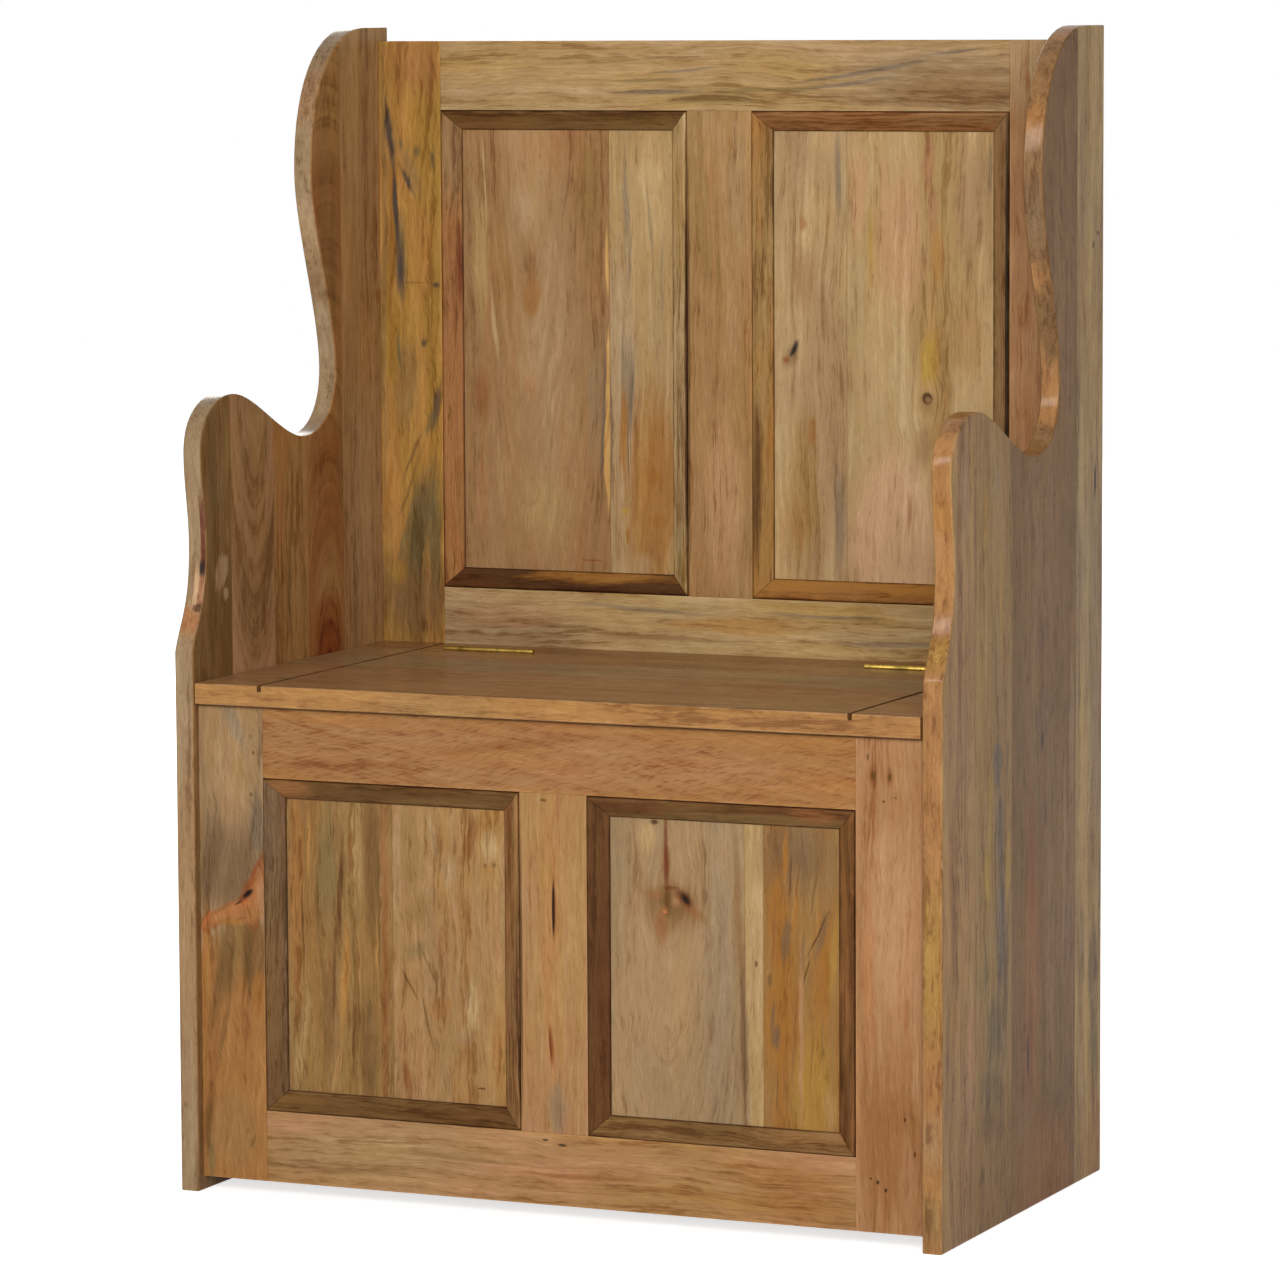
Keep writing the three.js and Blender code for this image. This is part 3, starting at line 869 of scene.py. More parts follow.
def upright(hue: Hue, second: Hue, **more: object) -> Wood:
    """Gives the finish of a piece of one board that stands, seen from the front."""
    return Wood(Axis.Z, Axis.X, (Stave(PAST_EDGE, hue, second),), **more)


def lying(hue: Hue, second: Hue, **more: object) -> Wood:
    """Gives the finish of a piece of one board that lies along the bench."""
    return Wood(Axis.X, Axis.Z, (Stave(PAST_EDGE, hue, second),), **more)


@dataclass
class Joinery:
    """Common to the bench's wooden parts: eased edges and a finish for each piece.

    ease: how far an edge's rounding reaches.
    rounds: how many steps it is rounded in.
    weld: how near to each other points have to lie to be joined.
    corner: how sharp an edge has to be to be rounded.
    even_shade: how strongly the broad faces rule the shading.
    """

    ease: float = 0.0005
    rounds: int = 2
    weld: float = 0.00001
    corner: float = math.radians(32)
    even_shade: int = 100

    def finishes(self) -> dict[str, Wood]:
        """Gives the finish of each piece by its node's name."""
        return {}

    def eases(self) -> dict[str, float]:
        """Gives the edge rounding of the pieces that differ from the rest."""
        return {}

    def dress(self, nodes: dict[str, bpy.types.Object]) -> None:
        """Rounds the edges of each piece and paints it.

        Args:
            nodes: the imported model's objects by name.
        """
        eases = self.eases()
        for name, wood in self.finishes().items():
            piece = nodes[name]
            self.soften(piece, eases.get(name, self.ease))
            low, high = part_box(name)
            painted = WoodPainter(name, wood, low, high).paint()
            for slot in piece.material_slots:
                slot.material = painted
            LOG.info("%s: %s", name, wood.staves[0].main.name.lower())

    def soften(self, piece: bpy.types.Object, width: float) -> None:
        """Rounds a piece's sharp edges.

        Args:
            piece: the object.
            width: how far the rounding reaches from the edge.
        """
        weld = piece.modifiers.new("weld", "WELD")
        weld.merge_threshold = self.weld
        bevel = piece.modifiers.new("ease", "BEVEL")
        bevel.width = width
        bevel.segments = self.rounds
        bevel.limit_method = "ANGLE"
        bevel.angle_limit = self.corner
        bevel.use_clamp_overlap = True
        bevel.harden_normals = False
        shade = piece.modifiers.new("shade", "WEIGHTED_NORMAL")
        shade.keep_sharp = False
        shade.weight = self.even_shade


@dataclass
class Panelled(Joinery):
    """Common to the two panelled frames: bevelled mouldings with dirt and painted shade in their
    corners.

    lip: the mouldings' rounder edge.
    lip_wear, lip_contrast, lip_rings, lip_grime: what their finishes have in common.
    """

    lip: float = 0.0014
    lip_wear: float = 0.15
    lip_contrast: float = 1.5
    lip_rings: float = 1.0
    lip_grime: float = 0.9

    def eases(self) -> dict[str, float]:
        """Gives the mouldings their rounder lip."""
        return {name: self.lip for name in self.finishes() if "moulding" in name}

    def mouldings(self, side: str, seed: float, *looks: tuple) -> dict[str, Wood]:
        """Gives the finishes of the frame's eight mouldings.

        Args:
            side: the side of the bench that the frame is on.
            seed: the first one's shift along the grain; each next one has 1 more.
            looks: for each moulding its two colours and its marks. The left panel's come
                first, and at each panel the order is left, right, top, bottom.

        Returns:
            The finishes by the mouldings' names.
        """
        edges = (("left", upright), ("right", upright), ("top", lying), ("bottom", lying))
        places = [(panel, *edge) for panel in ("left", "right") for edge in edges]
        made = {}
        for (panel, edge, way), (hue, second, *stains) in zip(places, looks):
            made[f"{side}_{panel}_panel_moulding_{edge}"] = way(
                hue,
                second,
                stains=tuple(stains),
                seed=seed + len(made),
                wear=self.lip_wear,
                contrast=self.lip_contrast,
                rings=self.lip_rings,
                grime=self.lip_grime,
            )
        return made


@dataclass
class EndBoards(Joinery):
    """The two shaped end boards, each glued up from upright staves."""

    ease: float = 0.0007

    def finishes(self) -> dict[str, Wood]:
        """Gives the finish of both end boards."""
        return {"left_end_board": self.left(), "right_end_board": self.right()}

    def left(self) -> Wood:
        """Gives the finish of the left board, whose inner face shows."""
        stains = (
            Stain((-0.155, 0.607), (0.016, 0.022), Hue.OAT, 0.9, rag=0.9, soft=0.25, lean=0.3),
            Stain((-0.149, 0.584), (0.007, 0.01), Hue.OAT, rag=0.7, soft=0.4),
            Stain((-0.145, 0.64), (0.008, 0.024), Hue.BRONZE, rag=0.8),
            Stain((-0.17, 0.64), (0.012, 0.03), Hue.WALNUT, 0.5, rag=0.8),
            Stain((-0.143, 0.72), (0.006, 0.045), Hue.KHAKI, 0.7),
            Stain((-0.175, 0.7), (0.012, 0.05), Hue.MOSS, 0.5),
            Stain((-0.175, 0.56), (0.018, 0.03), Hue.NUT, 0.6),
            Stain((-0.06, 0.6), (0.012, 0.08), Hue.COCOA, 0.5, lean=0.2),
            Stain((-0.026, 0.64), (0.004, 0.08), Hue.CHESTNUT, lean=0.05),
            Stain((-0.01, 0.6), (0.004, 0.08), Hue.NUT, 0.6, lean=0.04),
            Stain((0.008, 0.66), (0.004, 0.06), Hue.CHESTNUT, 0.7, lean=0.08),
            Stain((0.02, 0.56), (0.006, 0.05), Hue.OLIVE, 0.6),
            Stain((0.055, 0.665), (0.01, 0.014), Hue.CHESTNUT, rag=0.8),
            Stain((0.072, 0.52), (0.044, 0.056), Hue.RUST, 0.7, rag=0.3, soft=0.5),
            Stain((0.074, 0.508), (0.027, 0.034), Hue.BRICK, 0.7, rag=0.3, soft=0.3),
            Stain((0.074, 0.505), (0.02, 0.026), Hue.RUST, 0.9, rag=0.3, soft=0.3),
            Stain((0.074, 0.502), (0.009, 0.012), Hue.BRICK, rag=0.4),
            Stain((0.102, 0.7), (0.005, 0.2), Hue.COCOA, 0.6),
            Stain((0.075, 0.93), (0.03, 0.14), Hue.COCOA, 0.7),
            Stain((0.092, 0.88), (0.012, 0.12), Hue.NUT, 0.5),
            Stain((0.16, 1.0), (0.016, 0.12), Hue.BLUSH, 0.5, lean=0.15),
            Stain((0.19, 0.95), (0.009, 0.12), Hue.ROSE, 0.9),
            Stain((0.192, 0.86), (0.008, 0.01), Hue.CHESTNUT, rag=0.4),
            Stain((0.16, 0.65), (0.06, 0.18), Hue.OAT, 0.6),
            Stain((0.035, 0.803), (0.06, 0.005), Hue.CHESTNUT, 0.7, on_rim=True, down=0.012),
            Stain((0.06, 1.06), (0.06, 0.04), Hue.BLUSH, 0.5, on_rim=True),
            Stain((-0.21, 0.26), (0.04, 0.24), Hue.TAN, on_rim=True),
            Stain((0.06, 0.93), (0.06, 0.05), Hue.OAT, 0.6, on_rim=True),
            Stain((-0.2, 0.56), (0.03, 0.026), Hue.COPPER, on_rim=True, rag=0.4),
            Stain((-0.2, 0.596), (0.03, 0.03), Hue.PEACH, 0.9, on_rim=True, down=0.012, rag=0.6),
            Stain((-0.2, 0.59), (0.03, 0.022), Hue.RUST, 0.6, on_rim=True, down=0.007, rag=0.8),
            Stain((-0.2, 0.645), (0.03, 0.05), Hue.BRICK, 0.9, on_rim=True, down=0.006, rag=0.6),
            Stain((-0.2, 0.612), (0.03, 0.01), Hue.TAR, 0.9, on_rim=True, down=0.007, rag=0.6),
            Stain((-0.2, 0.574), (0.03, 0.004), Hue.UMBER, 0.7, on_rim=True, down=0.01, rag=0.9),
        )
        return Wood(
            Axis.Z,
            Axis.Y,
            (
                Stave(-0.137, Hue.DRAB, Hue.NUT, 0.3, 0.05, 0.02),
                Stave(-0.045, Hue.TAN, Hue.BLUSH, -0.088, 0.004, -0.22, 0.82),
                Stave(0.03, Hue.GOLD_TAN, Hue.SIENNA, 0.2, 0.05, 0.05, 0.2),
                Stave(0.108, Hue.GOLD_TAN, Hue.CHESTNUT, 0.075, 0.004, 0.3, 0.495),
                Stave(PAST_EDGE, Hue.TAN, Hue.GOLD_TAN, 0.5, 0.05, 0.03),
            ),
            stains=stains,
            rim=Hue.FAWN,
            seed=3.0,
            tints=(0.4, 0.4, 0.4),
            ripple=0.01,
        )

    def right(self) -> Wood:
        """Gives the finish of the right board, whose outer face shows."""
        stains = (
            Stain((-0.146, 0.16), (0.012, 0.15), Hue.BLUSH),
            Stain((-0.19, 0.3), (0.012, 0.08), Hue.COCOA, 0.7),
            Stain((-0.188, 0.7), (0.006, 0.06), Hue.OLIVE, 0.7),
            Stain((-0.16, 0.4), (0.003, 0.12), Hue.NUT, 0.7),
            Stain((-0.147, 0.47), (0.004, 0.09), Hue.COPPER, 0.6),
            Stain((-0.138, 0.33), (0.003, 0.09), Hue.HONEY, 0.7),
            Stain((-0.205, 0.18), (0.012, 0.16), Hue.DRAB, 0.7),
            Stain((-0.16, 0.7), (0.016, 0.08), Hue.FAWN),
            Stain((-0.17, 0.56), (0.003, 0.08), Hue.DRAB, 0.7),
            Stain((-0.15, 0.6), (0.002, 0.07), Hue.DRAB, 0.7),
            Stain((-0.085, 0.62), (0.04, 0.12), Hue.BRONZE, 0.7),
            Stain((-0.105, 0.68), (0.01, 0.06), Hue.GOLD, 0.7),
            Stain((-0.076, 0.725), (0.01, 0.03), Hue.ASH, 0.6, rag=0.8),
            Stain((-0.105, 0.56), (0.004, 0.09), Hue.WHEAT, 0.7),
            Stain((-0.065, 0.6), (0.006, 0.08), Hue.GOLD, lean=-0.05),
            Stain((-0.082, 0.57), (0.006, 0.05), Hue.OLIVE),
            Stain((-0.077, 0.452), (0.013, 0.034), Hue.SMOKE, 0.9, rag=0.8),
            Stain((-0.05, 0.445), (0.004, 0.03), Hue.SLATE, 0.6, rag=0.9),
            Stain((-0.07, 0.388), (0.014, 0.038), Hue.SMOKE, 0.9, rag=0.8),
            Stain((-0.096, 0.4), (0.006, 0.05), Hue.YELLOW, 0.6, rag=0.8),
            Stain((-0.103, 0.345), (0.012, 0.04), Hue.YELLOW, 0.7, rag=0.8),
            Stain((-0.045, 0.35), (0.009, 0.04), Hue.YELLOW, 0.7, rag=0.8),
            Stain((-0.066, 0.29), (0.017, 0.075), Hue.SMOKE, 1.0),
            Stain((-0.07, 0.3), (0.006, 0.05), Hue.ASH, rag=0.6),
            Stain((-0.05, 0.262), (0.012, 0.05), Hue.STONE, rag=0.7),
            Stain((-0.11, 0.25), (0.008, 0.04), Hue.OLIVE, rag=0.8),
            Stain((-0.08, 0.195), (0.042, 0.045), Hue.MOSS, 0.7, rag=0.6),
            Stain((-0.056, 0.18), (0.008, 0.03), Hue.FAWN, 0.7, lean=-0.2, rag=0.7),
            Stain((-0.09, 0.135), (0.036, 0.03), Hue.MOSS, 0.7, rag=0.6),
            Stain((-0.06, 0.15), (0.012, 0.02), Hue.OAT, 0.5, lean=-0.3),
            Stain((-0.098, 0.1), (0.02, 0.034), Hue.NUT, 0.9, rag=0.6),
            Stain((-0.065, 0.095), (0.014, 0.03), Hue.NUT, rag=0.6),
            Stain((-0.052, 0.105), (0.003, 0.02), Hue.GOLD),
            Stain((-0.114, 0.055), (0.01, 0.012), Hue.WALNUT, rag=0.7),
            Stain((0.02, 0.23), (0.034, 0.24), Hue.CHESTNUT, rag=0.3),
            Stain((0.02, 0.34), (0.018, 0.11), Hue.BRICK, 0.45, rag=0.3),
            Stain((0.014, 0.15), (0.014, 0.09), Hue.BRICK, 0.45, rag=0.3),
            Stain((0.072, 0.22), (0.018, 0.22), Hue.DRAB, 0.7, rag=0.3),
            Stain((0.09, 0.9), (0.06, 0.2), Hue.DRAB, 0.5, soft=1.0),
            Stain((0.13, 0.45), (0.008, 0.12), Hue.FAWN),
            Stain((0.112, 0.32), (0.008, 0.12), Hue.TAN, 0.6),
            Stain((0.05, 0.47), (0.026, 0.04), Hue.STONE, 0.6, rag=0.3),
            Stain((0.04, 0.64), (0.03, 0.08), Hue.DRAB, 0.6, rag=0.4),
            Stain((0.048, 0.451), (0.0055, 0.012), Hue.UMBER, 0.9, rag=0.4, sunk=0.5),
            Stain((0.01, 0.16), (0.008, 0.034), Hue.UMBER, 0.7, rag=0.3, soft=1.0),
            Stain((0.01, 0.146), (0.0036, 0.026), Hue.TAR, 0.9, rag=0.3, sunk=0.5),
            Stain((0.17, 0.76), (0.014, 0.05), Hue.KHAKI),
            Stain((0.152, 0.56), (0.005, 0.14), Hue.KHAKI, 0.7),
            Stain((0.182, 0.5), (0.01, 0.06), Hue.OLIVE, 0.5),
            Stain((0.19, 0.3), (0.02, 0.08), Hue.KHAKI, 0.6),
            Stain((0.195, 0.215), (0.02, 0.04), Hue.STONE, 0.7, rag=0.6),
            Stain((0.165, 0.23), (0.006, 0.06), Hue.ASH),
            Stain((0.2, 0.12), (0.02, 0.05), Hue.OLIVE, 0.9),
            Stain((0.188, 0.085), (0.006, 0.04), Hue.GOLD, 0.7, lean=0.1),
            Stain((0.18, 1.0), (0.02, 0.06), Hue.WHEAT, 0.5),
            Stain((0.15, 0.7), (0.003, 0.3), Hue.OLIVE, 0.6),
            Stain((0.197, 0.692), (0.0036, 0.024), Hue.TAR, 0.95, rag=0.3, soft=0.5, sunk=0.5),
            Stain((0.212, 0.74), (0.0016, 0.02), Hue.NUT, rag=0.4),
            Stain((0.19, 0.922), (0.006, 0.006), Hue.UMBER, 0.7),
            Stain((0.203, 0.933), (0.005, 0.003), Hue.UMBER),
            Stain((0.01, 0.01), (0.28, 0.17), Hue.COCOA, 0.75, rag=0.3, soft=1.0),
            Stain((0.06, 0.03), (0.1, 0.08), Hue.CHESTNUT, rag=0.3),
            Stain((0.2, 0.03), (0.06, 0.08), Hue.AMBER, 0.6, rag=0.3),
            Stain((0.1, 0.095), (0.04, 0.04), Hue.NUT, 0.6, rag=0.4),
            Stain((0.05, 1.1), (0.09, 0.05), Hue.COCOA, rag=0.3, soft=0.4, on_rim=True),
            Stain((0.05, 0.965), (0.06, 0.075), Hue.DRAB, 1.0, rag=0.2, soft=0.4, on_rim=True),
            Stain((0.05, 0.96), (0.06, 0.05), Hue.STONE, 0.5, rag=0.4, on_rim=True),
            Stain((0.07, 0.845), (0.06, 0.055), Hue.NUT, rag=0.4, on_rim=True),
            Stain((0.04, 0.795), (0.09, 0.024), Hue.CHESTNUT, rag=0.4, on_rim=True),
            Stain((0.04, 0.742), (0.11, 0.02), Hue.COCOA, 0.9, rag=0.3, on_rim=True),
            Stain((-0.195, 0.77), (0.03, 0.018), Hue.COCOA, 0.7, on_rim=True),
            Stain((-0.2, 0.68), (0.03, 0.034), Hue.AMBER, on_rim=True),
            Stain((-0.21, 0.56), (0.03, 0.02), Hue.GOLD, on_rim=True),
            Stain((-0.21, 0.5), (0.03, 0.024), Hue.CHESTNUT, 0.5, on_rim=True),
            Stain((-0.21, 0.27), (0.03, 0.12), Hue.GOLD, 0.9, rag=0.3, on_rim=True),
            Stain((-0.21, 0.105), (0.03, 0.04), Hue.TAN, rag=0.3, on_rim=True),
            Stain((-0.21, 0.03), (0.03, 0.04), Hue.BRONZE, rag=0.3, on_rim=True),
        )
        return Wood(
            Axis.Z,
            Axis.Y,
            (
                Stave(-0.133, Hue.CLAY, Hue.GOLD_TAN, 0.5, 0.05, 0.02),
                Stave(-0.035, Hue.BRONZE, Hue.KHAKI, 0.4, 0.05, 0.05),
                Stave(0.143, Hue.COCOA, Hue.NUT, 0.6, 0.05, 0.03, 0.75),
                Stave(PAST_EDGE, Hue.FAWN, Hue.WHEAT, 0.5, 0.05, 0.02),
            ),
            stains=stains,
            rim=Hue.SIENNA,
            seed=11.0,
            contrast=1.2,
            lean=-0.06,
            tints=(0.1, 0.6, 0.2),
            wander=0.02,
            ripple=0.012,
        )


@dataclass
class ChestFront(Panelled):
    """The panelled front that closes the chest.

    shadow_height: where the dark line under the lid lies.
    shadow_half: half its width.
    """

    shadow_height: float = 0.4817
    shadow_half: float = 0.0036

    def finishes(self) -> dict[str, Wood]:
        """Gives the finish of each piece of the front."""
        return {
            "front_left_stile": self.left_stile(),
            "front_right_stile": self.right_stile(),
            "front_muntin": self.muntin(),
            "front_top_rail": self.top_rail(),
            "front_bottom_rail": self.bottom_rail(),
            "front_left_panel": self.left_panel(),
            "front_right_panel": self.right_panel(),
            **self.moulding_finishes(),
        }

    def lid_shadow(self, along: bool = False) -> Stain:
        """Gives the dark line under the lid.

        Args:
            along: whether it lies on the rail, whose grain runs along it.

        Returns:
            The line.
        """
        at = (0.0, self.shadow_height)
        reach = (PAST_EDGE, self.shadow_half)
        if along:
            at, reach = at[::-1], reach[::-1]
        return Stain(at, reach, Hue.WALNUT, 0.9, rag=0.0, soft=0.6)

    def left_stile(self) -> Wood:
        """Gives the finish of the left stile: grey above a red flame, golden below."""
        stains = (
            Stain((-0.362, 0.44), (0.008, 0.045), Hue.OAT, 0.2, lean=-0.35),
            Stain((-0.34, 0.465), (0.014, 0.044), Hue.ASH, 0.85, lean=-0.35),
            Stain((-0.335, 0.415), (0.01, 0.03), Hue.KHAKI, 0.5),
            Stain((-0.352, 0.324), (0.055, 0.078), Hue.STONE, 0.85, rag=0.3),
            Stain((-0.318, 0.375), (0.01, 0.04), Hue.SMOKE, 0.7),
            Stain((-0.323, 0.452), (0.003, 0.003), Hue.OLIVE, rag=0.2),
            Stain((-0.32, 0.436), (0.002, 0.003), Hue.UMBER, 0.7, rag=0.2),
            Stain((-0.323, 0.395), (0.002, 0.003), Hue.UMBER, 0.7, rag=0.2),
            Stain((-0.345, 0.05), (0.16, 0.215), Hue.SIENNA, 1.0, soft=0.15, rag=0.3),
            Stain((-0.335, 0.232), (0.036, 0.06), Hue.COCOA, 0.9, rag=0.3, soft=0.6),
            Stain((-0.332, 0.24), (0.022, 0.048), Hue.NUT, lean=0.1, rag=0.3, soft=0.6),
            Stain((-0.352, 0.232), (0.012, 0.052), Hue.NUT, lean=0.1),
            Stain((-0.34, 0.24), (0.008, 0.042), Hue.BRONZE, 0.7),
            Stain((-0.326, 0.24), (0.012, 0.044), Hue.NUT, 1.0, lean=0.1, rag=0.4),
            Stain((-0.316, 0.24), (0.01, 0.042), Hue.COCOA, 0.9, rag=0.3),
            Stain((-0.347, 0.225), (0.003, 0.04), Hue.WALNUT, 0.6, lean=0.1),
            Stain((-0.362, 0.195), (0.007, 0.05), Hue.NUT, 0.6, lean=0.2),
            Stain((-0.356, 0.16), (0.004, 0.045), Hue.NUT, 0.6, lean=0.2),
            Stain((-0.318, 0.2), (0.009, 0.03), Hue.AMBER, rag=0.4),
            Stain((-0.337, 0.18), (0.012, 0.058), Hue.SIENNA, 1.0, rag=0.4),
            Stain((-0.345, 0.06), (0.04, 0.05), Hue.BRONZE, 0.6),
            Stain((-0.366, 0.13), (0.005, 0.07), Hue.CHESTNUT, lean=0.08),
            Stain((-0.372, 0.07), (0.006, 0.04), Hue.WALNUT, 0.6, lean=0.1),
            Stain((-0.37, 0.035), (0.008, 0.03), Hue.OLIVE, 0.7),
            Stain((-0.325, 0.052), (0.004, 0.01), Hue.NUT, 0.7, lean=0.3),
            Stain((-0.373, 0.235), (0.006, 0.052), Hue.HONEY, rag=0.4),
            Stain((-0.376, 0.245), (0.0025, 0.034), Hue.COPPER, 0.9, rag=0.4),
            Stain((-0.354, 0.275), (0.022, 0.024), Hue.RUST, 0.75, lean=1.65, rag=0.7, soft=0.5),
            Stain((-0.318, 0.297), (0.01, 0.048), Hue.RUST, 0.6, lean=0.15, rag=0.7, soft=0.5),
            Stain((-0.353, 0.277), (0.016, 0.023), Hue.COPPER, 0.95, lean=1.55, rag=0.6),
            Stain((-0.319, 0.297), (0.011, 0.044), Hue.COPPER, 0.9, lean=0.2, rag=0.6),
            Stain((-0.338, 0.274), (0.022, 0.01), Hue.COPPER, 0.7),
            Stain((-0.314, 0.298), (0.006, 0.03), Hue.BLUSH),
            Stain((-0.327, 0.305), (0.006, 0.012), Hue.RUST, 0.7, lean=0.7, rag=0.6),
            Stain((-0.319, 0.322), (0.0035, 0.016), Hue.RUST, 0.7, lean=0.5, rag=0.6),
            Stain((-0.357, 0.281), (0.006, 0.013), Hue.CHESTNUT, 0.7, lean=1.6, rag=0.8),
            Stain((-0.373, 0.27), (0.003, 0.012), Hue.EMBER, 0.9, lean=0.6),
            Stain((-0.33, 0.287), (0.006, 0.007), Hue.EMBER, rag=0.6),
            Stain((-0.357, 0.272), (0.009, 0.005), Hue.ROSE, 0.7),
            Stain((-0.348, 0.269), (0.02, 0.0055), Hue.AMBER, 0.9, rag=0.6),
            Stain((-0.322, 0.279), (0.014, 0.008), Hue.SIENNA, 0.9, rag=0.6),
            Stain((-0.336, 0.272), (0.008, 0.0025), Hue.CHESTNUT, lean=2.0),
            Stain((-0.331, 0.294), (0.008, 0.01), Hue.BRICK, lean=1.1, rag=0.6, soft=1.0),
            Stain((-0.3275, 0.2975), (0.0045, 0.0058), Hue.TAR, 1.0, lean=0.9, rag=0.4, sunk=1.0),
            Stain((-0.3375, 0.288), (0.0024, 0.0026), Hue.UMBER, 1.0, lean=1.2, rag=0.4),
            Stain((-0.341, 0.286), (0.002, 0.002), Hue.BRICK, 0.9, lean=1.2, rag=0.4),
            self.lid_shadow(),
        )
        return upright(
            Hue.FAWN,
            Hue.TAN,
            stains=stains,
            knots=(Knot((-0.33, 0.29), (0.06, 0.08), 0.6),),
            lean=0.15,
            seed=1.0,
            contrast=0.8,
            tints=(0.6, 0.5, 0.4),
            ripple=0.01,
        )

    def top_rail(self) -> Wood:
        """Gives the finish of the top rail, whose flecks lean."""
        stains = (
            Stain((0.43, -0.2), (0.006, 0.09), Hue.CHESTNUT, 0.45, lean=0.1),
            Stain((0.455, -0.05), (0.008, 0.12), Hue.CHESTNUT, 0.6, lean=0.12),
            Stain((0.44, 0.18), (0.01, 0.09), Hue.BLUSH, 0.5, lean=0.1),
            self.lid_shadow(along=True),
        )
        return lying(
            Hue.ROSE,
            Hue.SIENNA,
            stains=stains,
            lines=Grain.RED,
            flecks=0.45,
            lean=-0.25,
            seed=2.0,
            contrast=0.9,
            tints=(0.2, 0.3, 0.6),
        )

    def muntin(self) -> Wood:
        """Gives the finish of the muntin, with its two splits."""
        stains = (
            Stain((0.025, 0.25), (0.01, 0.3), Hue.GOLD_TAN),
            Stain((0.002, 0.112), (0.015, 0.034), Hue.ASH, 0.7),
            Stain((-0.01, 0.405), (0.005, 0.002), Hue.UMBER, 0.7, rag=0.2),
            Stain((0.001, 0.345), (0.0014, 0.02), Hue.RUST, 0.6, rag=0.2),
            Stain((0.001, 0.3), (0.0034, 0.045), Hue.RUST, 0.6, rag=0.25),
            Stain((0.0, 0.3), (0.0022, 0.036), Hue.TAR, 0.95, rag=0.2, soft=0.5, sunk=2.0),
            Stain((-0.004, 0.17), (0.0036, 0.03), Hue.RUST, lean=-0.08),
            Stain((-0.004, 0.17), (0.0014, 0.022), Hue.BRICK, 0.9, lean=-0.08, rag=0.3, sunk=1.0),
            # Painted shade: a dark line along the muntin's left edge, beside the moulding's lip.
            Stain((-0.034, 0.24), (0.0016, 0.19), Hue.UMBER, rag=0.1, soft=0.6),
        )
        return upright(
            Hue.BLUSH,
            Hue.GOLD_TAN,
            stains=stains,
            lines=Grain.RED,
            seed=5.0,
            contrast=0.8,
            tints=(0.3, 0.5, 0.5),
        )

    def right_stile(self) -> Wood:
        """Gives the finish of the right stile, redder below."""
        stains = (
            Stain((0.345, 0.1), (0.05, 0.14), Hue.CHESTNUT, 0.7),
            Stain((0.345, 0.43), (0.05, 0.05), Hue.ROSE, 0.7),
            Stain((0.345, 0.3), (0.03, 0.12), Hue.PINK, 0.5),
            Stain((0.325, 0.1), (0.01, 0.12), Hue.CHESTNUT, 0.7),
            Stain((0.36, 0.06), (0.012, 0.06), Hue.BLUSH, 0.6),
            Stain((0.325, 0.25), (0.008, 0.12), Hue.EMBER, 0.35),
            Stain((0.327, 0.445), (0.006, 0.013), Hue.CHESTNUT, rag=0.4),
            Stain((0.344, 0.444), (0.0055, 0.012), Hue.CHESTNUT, rag=0.4),
            Stain((0.327, 0.445), (0.0028, 0.006), Hue.WALNUT, 0.9, rag=0.3),
            Stain((0.344, 0.444), (0.0024, 0.005), Hue.WALNUT, 0.9, rag=0.3),
            Stain((0.322, 0.462), (0.0016, 0.004), Hue.UMBER, 0.7, rag=0.2),
            Stain((0.338, 0.421), (0.002, 0.002), Hue.UMBER, rag=0.2),
            Stain((0.35, 0.425), (0.0016, 0.002), Hue.UMBER, 0.7, rag=0.2),
            Stain((0.332, 0.062), (0.0025, 0.003), Hue.TAR, 0.9, rag=0.2),
            Stain((0.34, 0.055), (0.002, 0.003), Hue.TAR, 0.9, rag=0.2),
            Stain((0.325, 0.065), (0.0016, 0.002), Hue.TAR, rag=0.2),
            Stain((0.359, 0.123), (0.0016, 0.003), Hue.UMBER, 0.9, rag=0.2),
            Stain((0.369, 0.091), (0.0016, 0.004), Hue.UMBER, 0.9, rag=0.2),
            self.lid_shadow(),
        )
        return upright(
            Hue.BLUSH,
            Hue.ROSE,
            stains=stains,
            lines=Grain.RED,
            seed=7.0,
            contrast=0.75,
            tints=(0.3, 0.4, 0.6),
        )

    def bottom_rail(self) -> Wood:
        """Gives the finish of the bottom rail, with long wavy lines."""
        stains = (
            Stain((0.05, -0.18), (0.06, 0.16), Hue.OAT, 0.5),
            Stain((0.044, 0.03), (0.004, 0.09), Hue.CHESTNUT, 0.7),
            Stain((0.052, -0.1), (0.005, 0.08), Hue.DRAB, 0.7),
            Stain((0.06, -0.2), (0.005, 0.1), Hue.STRAW, 0.6),
            Stain((0.037, 0.12), (0.003, 0.06), Hue.CHESTNUT, 0.6),
            Stain((0.03, -0.23), (0.004, 0.08), Hue.DRAB, 0.6),
            Stain((0.045, 0.25), (0.045, 0.08), Hue.SIENNA, 0.7),
            Stain((0.077, -0.01), (0.0014, 0.005), Hue.TAR, 0.9, rag=0.2),
            Stain((0.073, 0.008), (0.0022, 0.007), Hue.TAR, rag=0.2),
        )
        return lying(
            Hue.GOLD_TAN,
            Hue.BLUSH,
            stains=stains,
            seed=9.0,
            contrast=0.9,
        )

